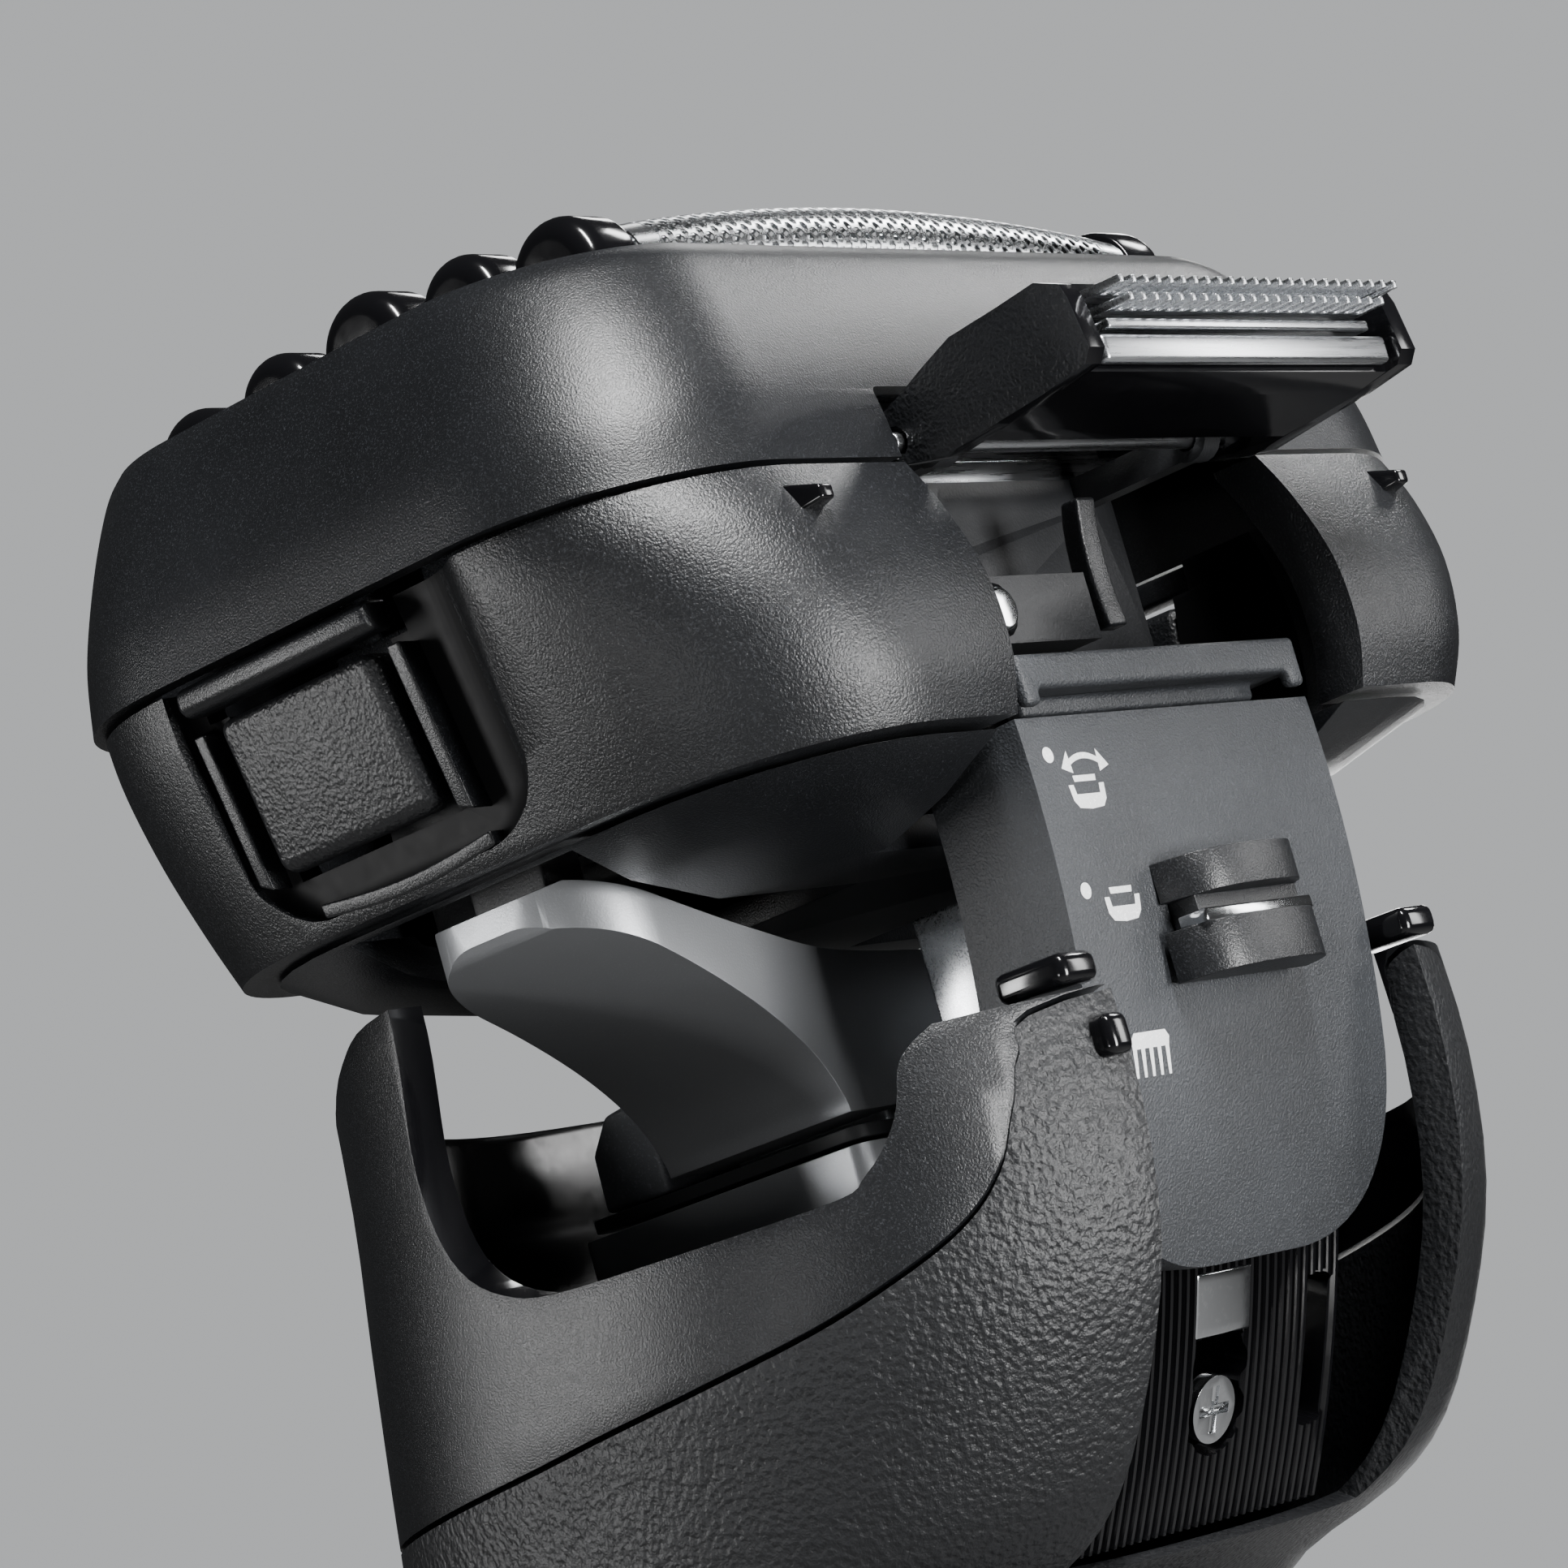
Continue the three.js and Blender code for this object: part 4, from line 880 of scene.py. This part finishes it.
class SHAVER_OT_slider(bpy.types.Operator):
    """Slider plate with its printed symbols, top bar and knob"""

    bl_idname = "shaver.slider"
    bl_label = "Slider"

    def print_on_arc(self, outline, name):
        """A symbol drawn as (x, z) and laid on the slider's face, a few hundredths proud."""
        piece = ring([(x, 0, z) for x, z in outline], "NGON")
        edit(piece)
        bpy.ops.mesh.quads_convert_to_tris()
        bpy.ops.mesh.subdivide(number_cuts=2)
        leave()
        for vertex in piece.data.vertices:
            x, _, z = vertex.co
            vertex.co = (x, *arc_point(SLIDER_ARC + 0.025, arc_angle(z)))
        face_outwards(piece)
        if piece.data.polygons[0].normal.y < 0:
            edit(piece)
            bpy.ops.mesh.flip_normals()
            leave()
        return deliver(piece, name, "ink", "slider", "slate")

    def execute(self, context):
        half, top, bottom = SLIDER_HALF, SLIDER_TOP, SLIDER_BOTTOM
        skin = pulled(arc_strip(SLIDER_ARC - SLIDER_THICK, SLIDER_ARC, arc_angle(top), arc_angle(bottom), 60),
                      "X", -half, half)
        side = [(half, 4), (half, bottom + 9)]
        corner = [(half * (1 - t) ** 2 + 2 * t * (1 - t) * (half - 0.4) + t * t * (half - 9),
                   (bottom + 9) * (1 - t) ** 2 + 2 * t * (1 - t) * bottom + t * t * bottom)
                  for t in [i / 16 for i in range(1, 17)]]
        right = side + corner
        mask = pulled(right + [(-x, z) for x, z in reversed(right)], "Y", -20, 10)
        flange = arc_strip(SLIDER_ARC - 6.6, SLIDER_ARC - 0.5, arc_angle(top), arc_angle(top) + 0.225, 16)
        for _, sign in SIDES:
            join(skin, pulled(flange, "X", *spread_out(sign, half - 1.5, half)))
        combine(skin, mask, "INTERSECT")
        clean(skin, 0.002)
        round_edges(skin, 0.45, 4, 50)
        deliver(skin, "slider_face", "matte_slider", "slider", "slate", "slider_plate")

        dress("slider_bar", "slider_top_bar", "matte_slider", "slider", "slate", 0.3)
        dress("slider_knob", "slider_thumb_rest", "satin_abs", "slider", "satin_black", 0.45, 4, 40)
        strip = block(-4.3, 4.9, 0.4, 2.25, -13.05, -12.35)
        round_edges(strip, 0.12, 2)
        deliver(strip, "thumb_rest_strip", "chrome", "slider", "steel")

        def dot(x, z, radius=0.42):
            """A round mark."""
            return [(x + radius * math.cos(i / 20 * math.tau), z + radius * math.sin(i / 20 * math.tau))
                    for i in range(20)]

        for index, (x, z) in enumerate(((10.9, -3.3), (10.8, -10.3))):
            self.print_on_arc(dot(x, z), f"mark_dot_{index + 1}")

        def head_symbol(x, z, wide=2.9, tall=1.8):
            """A shaving head seen from the front: a rounded bowl with a bar over it."""
            bowl = [(x - wide / 2, z + tall * 0.2), (x - wide * 0.36, z + tall * 0.2),
                    (x - wide * 0.33, z - tall * 0.08), (x + wide * 0.33, z - tall * 0.08),
                    (x + wide * 0.36, z + tall * 0.2), (x + wide / 2, z + tall * 0.2),
                    (x + wide * 0.46, z - tall * 0.25), (x + wide * 0.34, z - tall * 0.47),
                    (x, z - tall * 0.52), (x - wide * 0.34, z - tall * 0.47),
                    (x - wide * 0.46, z - tall * 0.25)]
            bar = [(x - wide * 0.3, z + tall * 0.28), (x + wide * 0.3, z + tall * 0.28),
                   (x + wide * 0.32, z + tall * 0.46), (x - wide * 0.32, z + tall * 0.46)]
            return bowl, bar

        for index, (x, z) in enumerate(((8.55, -5.3), (8.0, -11.1))):
            for part, outline in zip(("bowl", "bar"), head_symbol(x, z)):
                self.print_on_arc(outline, f"mark_head_{part}_{index + 1}")
        across = [-1 + 2 * i / 16 for i in range(17)]
        swing = [(8.2 + 1.35 * t, -3.3 - 0.4 * t * t) for t in across]
        swing += [(8.2 + 1.35 * t, -3.62 - 0.4 * t * t) for t in reversed(across)]
        self.print_on_arc(swing, "mark_swing")
        for side, sign in SIDES:
            tip = [(8.2 + sign * 1.2, -3.15), (8.2 + sign * 1.95, -4.05), (8.2 + sign * 1.1, -4.35)]
            self.print_on_arc(tip, "mark_swing_tip_" + side)
        teeth = []
        for i in range(5):
            left = 6.3 + i * 0.68
            teeth += [(left, -18.35), (left + 0.04, -19.75), (left + 0.26, -19.75), (left + 0.32, -18.35)]
        back = [(6.2, -17.9), (6.5, -17.55), (9.1, -17.55), (9.4, -17.9)]
        self.print_on_arc(back + list(reversed(teeth)), "mark_comb")
        return {"FINISHED"}


class SHAVER_OT_yoke(bpy.types.Operator):
    """Silver yoke, its pins and bearings"""

    bl_idname = "shaver.yoke"
    bl_label = "Yoke"

    def wings(self):
        """Both arms, as a front outline within a plan with round corners."""
        under = smooth_line([(12.6, -16.7), (12.9, -15.6), (14.3, -13.3), (17, -10.8),
                             (20.8, -8.3), (25, -6.1), (27.6, -4.9)], 5)
        over = smooth_line([(27, -2.7), (22, -4.6), (16, -6.7), (10, -8.3), (0, -9.0)], 5)
        half = [(TONGUE_HALF, -16.71)] + under + [(YOKE_REACH, -4.3), (YOKE_REACH - 0.1, -2.9)] + over[:-1]
        wings = pulled(half + [(-x, z) for x, z in reversed(half)], "Y", *YOKE_Y)
        front, back = YOKE_Y
        middle, deep, corner = (front + back) / 2, (back - front) / 2, 5.2
        plan = [(x, middle + y) for x, y in round_rectangle(YOKE_REACH, deep, corner, corner, 24)]
        return combine(wings, pulled(plan, "Z", -30, 10), "INTERSECT")

    def execute(self, context):
        wings = clean(self.wings(), 0.03)
        round_edges(wings, 0.9, 6, 50)
        deliver(wings, "yoke_arms", "silver", "neck", "satin_silver", "yoke")
        tongue = block(-TONGUE_HALF, TONGUE_HALF, YOKE_Y[0] + 1, YOKE_Y[1] - 1, SWING_Z - 2.2, -15)
        round_edges(tongue, 0.4, 3)
        cut(tongue, rod(1.15, (0, -32, SWING_Z), (0, -15, SWING_Z), 32))
        deliver(tongue, "yoke_tongue", "silver", "neck", "satin_silver")
        for side, sign in SIDES:
            low, high = spread_out(sign, *LUG_SPAN)
            lug = block(low, high, TILT_Y - 2.6, TILT_Y + 2.6, -5.2, TILT_Z)
            join(lug, rod(2.2, (low, TILT_Y, TILT_Z), (high, TILT_Y, TILT_Z), 40))
            cut(lug, rod(1.1, (low - 1, TILT_Y, TILT_Z), (high + 1, TILT_Y, TILT_Z), 32))
            round_edges(clean(lug, 0.002), 0.15, 3)
            deliver(lug, "yoke_lug_" + side, "nylon", "neck", "slate")
            dress("bearing_block_" + side, "tilt_bearing_" + side, "nylon", "head", "slate", 0.15, 2)
            dress("tilt_pin_" + side, "tilt_axle_" + side, "steel", "head", "steel", 0.15, 2)
        dress("swing_pin", "swing_axle", "steel", "handle", "steel", 0.2, 3, 50)
        return {"FINISHED"}


class SHAVER_OT_housing(bpy.types.Operator):
    """Lower housing of the head, with its button trays, and the cover under it"""

    bl_idname = "shaver.housing"
    bl_label = "Head housing"

    def button_tray(self, sign):
        """The hollow around a button, with side walls that open outwards."""
        line = [(-34.0, 14), (-34.0, 1.4), (-31.6, -0.9), (-18.0, -0.9), (-15.4, 1.4), (-15.4, 14)]
        tray = pulled(line, "X", 30, 40)
        for vertex in tray.data.vertices:
            if vertex.co.x > 35:
                vertex.co.y += 9.5 if vertex.co.y > -26 else -0.8
            else:
                vertex.co.x = 31.2 + (vertex.co.z - BUTTON_BOTTOM) * BUTTON_LEAN
        return on_side(round_edges(tray, 1.5, 6, 30), sign)

    def wall_depth(self, place):
        """How far a place lies inside the housing's side, in millimetres."""
        low, high = next(((a, b) for a, b in zip(HOUSING_ROWS, HOUSING_ROWS[1:]) if b[0] > place.z),
                         HOUSING_ROWS[-2:])
        share = (place.z - low[0]) / (high[0] - low[0])
        return low[1] + (high[1] - low[1]) * share - abs(place.x)

    def lower_shell(self):
        section = corner_section()
        rows = smooth_line(HOUSING_ROWS, 5)
        shell = tower(section, rows)
        cut(shell, tower(section, longer(rows, 2, 2), HOUSING_WALL))
        tools = [block(-15, 15, -9, 8, -6, 16)]
        for _, sign in SIDES:
            low, high = spread_out(sign, 26, 40)
            tools.append(block(low, high, -32.05, -19.95, BUTTON_BOTTOM - GAP, 14))
            tools.append(block(low, high, -33.3, -18.7, BUTTON_TOP + 0.4, 14))
        cut(shell, *tools, self.button_tray(1), self.button_tray(-1))
        clean(shell)
        round_edges(shell, mm("shell_edge"), 3, 45)
        deliver(shell, "head_lower_shell", "spark_abs", "head", "satin_black", "head_housing")
        # the trays are duller inside and painted darker: painted shade
        shell.data.materials.append(FINISHES["recess"])
        for face in shell.data.polygons:
            place = (face.center - DATUM) / MM
            if -34.3 < place.y < -15.0 and 0.35 < self.wall_depth(place) < 4:
                face.material_index = 1

    def rails(self, side, sign):
        """Two upright rails and a curved sill around a button."""
        sill = [(-30.6 + 12.4 * i / 16, -0.45 * math.sin(math.pi * i / 16)) for i in range(17)]
        sill += [(y, z - 0.75) for y, z in reversed(sill)]
        rails = (
            ([(-33.6, 9.9), (-33.6, 1.9), (-32.8, 1.5), (-32.8, 9.9)], "edge", 32.7),
            ([(-19.2, 9.9), (-19.2, 1.5), (-18.3, 1.2), (-18.3, 9.9)], "edge", 32.7),
            (sill, "sill", 32.4),
        )
        for index, (outline, kind, face) in enumerate(rails):
            rail = pulled(outline, "X", 30.6, face)
            edit(rail)
            bpy.ops.mesh.subdivide(number_cuts=2)
            leave()
            for vertex in rail.data.vertices:
                vertex.co.x += (vertex.co.z - BUTTON_BOTTOM) * BUTTON_LEAN
            rail = on_side(round_edges(rail, 0.14, 3, 40), sign)
            deliver(rail, f"button_{kind}_{side}_{index + 1}", "satin_abs", "head", "satin_black")

    def stop_nub(self, side, middle):
        """A small wedge on the back, narrower at its end."""
        nub = block(middle - 1.1, middle + 1.1, -0.6, 2.1, 9.3, 11.3)
        select_faces(nub, lambda face: face.normal.y > 0.9)
        bpy.ops.transform.resize(value=(0.45, 1, 0.35), center_override=(middle, 2.1, 10.0))
        leave()
        round_edges(nub, 0.16, 3, 30)
        deliver(nub, "stop_nub_" + side, "gloss", "head", "satin_black")

    def execute(self, context):
        self.lower_shell()
        for side, sign in SIDES:
            self.rails(side, sign)
            dress("release_button_" + side, "release_key_" + side, "leather_abs", "release_" + side,
                  "spark_black", 0.75, 5, 40)
            dress("latch_bar_" + side, "latch_lip_" + side, "satin_abs", "foil_cover", "satin_black",
                  0.42, 4, 30)
            self.stop_nub(side, sign * 24.7)
        cover = from_node("underside_cover")
        round_edges(cover, 0.3, 3, 50)
        deliver(cover, "head_underside", "satin_abs", "head", "satin_black", "underside_cover", smooth=30)
        return {"FINISHED"}


class SHAVER_OT_works(bpy.types.Operator):
    """Motor, links and cutters inside the head, and the cell and board inside the handle"""

    bl_idname = "shaver.works"
    bl_label = "Works inside"

    def execute(self, context):
        for node, name, finish, body, slot, width in (
                ("linear_motor", "drive_motor", "nylon", "head", "grey", 0.4),
                ("trimmer_bracket", "trimmer_holder", "nylon", "head", "slate", 0.22),
                ("bracket_screw", "holder_screw", "chrome", "head", "steel", 0.2),
                ("trimmer_axle", "flip_axle", "steel", "head", "steel", 0.1),
                ("lift_link_left", "lift_arm_left", "satin_abs", "links", "satin_black", 0.2),
                ("lift_link_right", "lift_arm_right", "satin_abs", "links", "satin_black", 0.2),
                ("outer_cutters", "outer_blades_set", "steel", "outer_blades", "steel", 0.12),
                ("inner_cutters", "inner_blades_set", "steel", "inner_blades", "steel", 0.12),
                ("battery", "cell", "film", "handle", "cell_wrap", 0.6),
                ("circuit_board", "board", "board", "handle", "board_green", 0.1)):
            dress(node, name, finish, body, slot, width)
        return {"FINISHED"}


class SHAVER_OT_head_frame(bpy.types.Operator):
    """Frame that holds the foils"""

    bl_idname = "shaver.head_frame"
    bl_label = "Foil frame"

    def execute(self, context):
        section = corner_section(steps=24)
        rows = smooth_line(FRAME_ROWS, 8)
        shell = tower(section, rows)
        cut(shell, tower(section, longer(rows, 2, 2), FRAME_WALL))
        notch = pulled([(15.2, 16.5), (14.6, 10), (-14.6, 10), (-15.2, 16.5)], "Y", -9, 4)
        round_edges(notch, 0.4, 3, 30)
        cut(shell, notch)
        clean(shell)
        round_edges(shell, 0.4, 4, 50)
        deliver(shell, "foil_frame_shell", "satin_abs", "foil_cover", "satin_black", "head_frame")
        return {"FINISHED"}


class SHAVER_OT_foils(bpy.types.Operator):
    """Perforated foils and their end caps"""

    bl_idname = "shaver.foils"
    bl_label = "Foils"

    def around(self, half, crest):
        """Height of the foil's straight sides, and the length around its arch."""
        radius = half - 0.05
        straight = crest - radius - FOIL_FOOT
        return straight, 2 * straight + math.pi * radius

    def on_arch(self, x, u, foil):
        """The place of a point that is x along the foil and u around its arch from the back foot."""
        _, y, half, crest = foil
        straight, girth = self.around(half, crest)
        x = max(-FOIL_HALF, min(FOIL_HALF, x))
        u = max(0.0, min(girth, u))
        radius = half - 0.13
        if u < straight:
            side, height = radius, FOIL_FOOT + u
        elif u > girth - straight:
            side, height = -radius, FOIL_FOOT + girth - u
        else:
            angle = (u - straight) / radius
            side, height = radius * math.cos(angle), crest - half + radius * math.sin(angle)
        bend_from = FOIL_FOOT + 0.4
        share = max(0.0, (height - bend_from) / (crest - bend_from))
        return (x, y + side, height - share * x * x / (2 * FOIL_ARCH))

    def net(self, foil):
        """A flat net of six-sided holes, wrapped over the foil's arch and given its thickness."""
        pitch, land = mm("foil_pitch"), mm("foil_land")
        girth = self.around(*foil[2:])[1]
        step_x, step_y = pitch * math.sqrt(3) / 2, pitch
        columns, rows = int(2 * FOIL_HALF / step_x) // 2 * 2, int(girth * 0.92 / step_y)
        deselect()
        bpy.ops.mesh.primitive_circle_add(vertices=6, radius=pitch / math.sqrt(3), fill_type="NGON",
                                          rotation=(0, 0, math.radians(30)))
        net = bpy.context.object
        bpy.ops.object.transform_apply(location=True, rotation=True, scale=True)
        # the second cell of the pair sits half a step aside
        edit(net)
        bpy.ops.mesh.duplicate_move(TRANSFORM_OT_translate={"value": (step_x, step_y / 2, 0)})
        leave()
        for count, step in ((columns // 2, (2 * step_x, 0, 0)), (rows, (0, step_y, 0))):
            apply_modifier(net, "ARRAY", count=count, use_relative_offset=False,
                           use_constant_offset=True, constant_offset_displace=step)
        edit(net, "FACE")
        bpy.ops.mesh.remove_doubles(threshold=pitch * 0.05)
        bpy.ops.mesh.inset(thickness=land / 2, use_individual=True)
        bpy.ops.mesh.delete(type="FACE")
        leave()
        wide, tall = columns * step_x, rows * step_y
        spread_x, spread_y = 2 * NET_HALF / wide, girth * 0.97 / tall
        for vertex in net.data.vertices:
            x = (vertex.co.x + 0.2 - wide / 2) * spread_x
            vertex.co = self.on_arch(x, (vertex.co.y + 0.2) * spread_y, foil)
        return apply_modifier(net, "SOLIDIFY", thickness=mm("foil_thick"), offset=-1.0)

    def margin(self, foil, sign):
        """The plain edge of the foil at one end."""
        girth = self.around(*foil[2:])[1]
        deselect()
        bpy.ops.mesh.primitive_grid_add(x_subdivisions=3, y_subdivisions=60, size=1)
        margin = bpy.context.object
        for vertex in margin.data.vertices:
            x = sign * (19.5 + vertex.co.x * 1.9)
            vertex.co = self.on_arch(x, (vertex.co.y + 0.5) * girth, foil)
        face_outwards(margin)
        return apply_modifier(margin, "SOLIDIFY", thickness=0.12, offset=0.0)

    def hoop(self, foil, reach, hole, z0, z1, edge):
        """A flat frame under a foil, with a hole of a given reach and edge."""
        _, y, half, _ = foil
        frame_piece = block(-reach, reach, y - half, y + half, z0, z1)
        cut(frame_piece, block(-hole, hole, y - half + edge, y + half - edge, 20, 30))
        return frame_piece

    def cap(self, foil, sign):
        """The rounded cap at one end of a foil."""
        _, y, half, crest = foil
        top = crest - 1 - half
        angles = [i / 24 * math.pi for i in range(25)]
        arch = [(half * math.cos(a), top + half * math.sin(a)) for a in angles]
        line = [(half, 23.5)] + arch + [(-half, 23.5)]
        low, high = spread_out(sign, CAP_INNER, CAP_INNER + CAP_LENGTH)
        cap = pulled([(y + a, b) for a, b in line], "X", low, high)
        edit(cap, "EDGE")
        bpy.ops.mesh.select_all(action="DESELECT")
        leave()
        outer_end = high if sign > 0 else low
        for edge in cap.data.edges:
            edge.select = all(abs(cap.data.vertices[v].co.x - outer_end) < 0.01 for v in edge.vertices)
        activate(cap)
        bpy.ops.object.mode_set(mode="EDIT")
        bpy.ops.mesh.select_mode(type="EDGE")
        bpy.ops.mesh.bevel(offset=1.3, segments=8, profile=0.5, affect="EDGES")
        leave()
        return round_edges(cap, 0.25, 3, 50)

    def execute(self, context):
        for foil in FOIL_ROWS:
            name = foil[0] + "_foil"
            body = foil[0] + "_row"
            deliver(self.net(foil), name + "_net", "nickel", body, "steel", name, smooth=50)
            for side, sign in SIDES:
                deliver(self.margin(foil, sign), f"{name}_margin_{side}", "nickel", body, "steel", smooth=50)
            band = self.hoop(foil, FOIL_HALF, FOIL_HALF - 0.4, FOIL_FOOT, FOIL_FOOT + 0.8, 0.3)
            deliver(round_edges(band, 0.08, 2), name + "_band", "nickel", body, "steel")
            rail = self.hoop(foil, CAP_INNER + 2.5, CAP_INNER, FOIL_FOOT - 1.5, FOIL_FOOT - GAP, 0.9)
            deliver(round_edges(rail, 0.2, 2), name + "_rail", "gloss", body, "gloss_black", name + "_frame")
            for side, sign in SIDES:
                deliver(self.cap(foil, sign), f"{name}_cap_{side}", "gloss", body, "gloss_black")
        return {"FINISHED"}


class SHAVER_OT_trimmer(bpy.types.Operator):
    """Pop-up trimmer with its comb, cutter and steel bars"""

    bl_idname = "shaver.trimmer"
    bl_label = "Trimmer"

    def execute(self, context):
        for node, name, finish, body, slot, width, angle in (
                ("trimmer_carrier", "trimmer_body", "leather_abs", "trimmer", "spark_black", 0.28, 30),
                ("trimmer_comb", "comb_blade", "steel", "trimmer", "steel", 0.07, 40),
                ("trimmer_cutter", "cutter_blade", "steel", "trimmer_blade", "steel", 0.07, 40),
                ("trimmer_bar_upper", "upper_bar", "steel", "trimmer", "steel", 0.15, 40),
                ("trimmer_bar_lower", "lower_bar", "steel", "trimmer", "steel", 0.28, 40)):
            piece = dress(node, name, finish, body, slot, width, 3, angle)
            if node == "trimmer_carrier":
                # the cheeks are grained outside, and everything between them is polished
                piece.data.materials.append(FINISHES["gloss"])
                for face in piece.data.polygons:
                    outside = abs(face.center.x) > 0.01395 and abs(face.normal.x) > 0.3
                    face.material_index = 0 if outside else 1
        return {"FINISHED"}


class SHAVER_PT_panel(bpy.types.Panel):
    """Lists the shaver's pieces, sizes and colours"""

    bl_idname = "SHAVER_PT_panel"
    bl_label = "Electric shaver"
    bl_space_type = "VIEW_3D"
    bl_region_type = "UI"
    bl_category = "Shaver"

    def draw(self, context):
        for group in (context.scene.shaver_sizes, context.scene.shaver_colours):
            for name in group.bl_rna.properties.keys():
                if name not in ("name", "rna_type"):
                    self.layout.prop(group, name)
        for operator in OPERATORS:
            self.layout.operator(operator.bl_idname)


OPERATORS = (
    SHAVER_OT_stage, SHAVER_OT_shells, SHAVER_OT_front, SHAVER_OT_guide, SHAVER_OT_neck, SHAVER_OT_slider,
    SHAVER_OT_yoke, SHAVER_OT_housing, SHAVER_OT_works, SHAVER_OT_head_frame, SHAVER_OT_foils,
    SHAVER_OT_trimmer,
)
CLASSES = (ShaverSizes, ShaverColours, *OPERATORS, SHAVER_PT_panel)


def register():
    for kind in CLASSES:
        bpy.utils.register_class(kind)
    bpy.types.Scene.shaver_sizes = bpy.props.PointerProperty(type=ShaverSizes)
    bpy.types.Scene.shaver_colours = bpy.props.PointerProperty(type=ShaverColours)


def unregister():
    del bpy.types.Scene.shaver_colours
    del bpy.types.Scene.shaver_sizes
    for kind in reversed(CLASSES):
        bpy.utils.unregister_class(kind)


def main():
    register()
    FINISHES.update(make_materials())
    for operator in OPERATORS:
        group, name = operator.bl_idname.split(".")
        getattr(getattr(bpy.ops, group), name)()


if __name__ == "__main__":
    main()
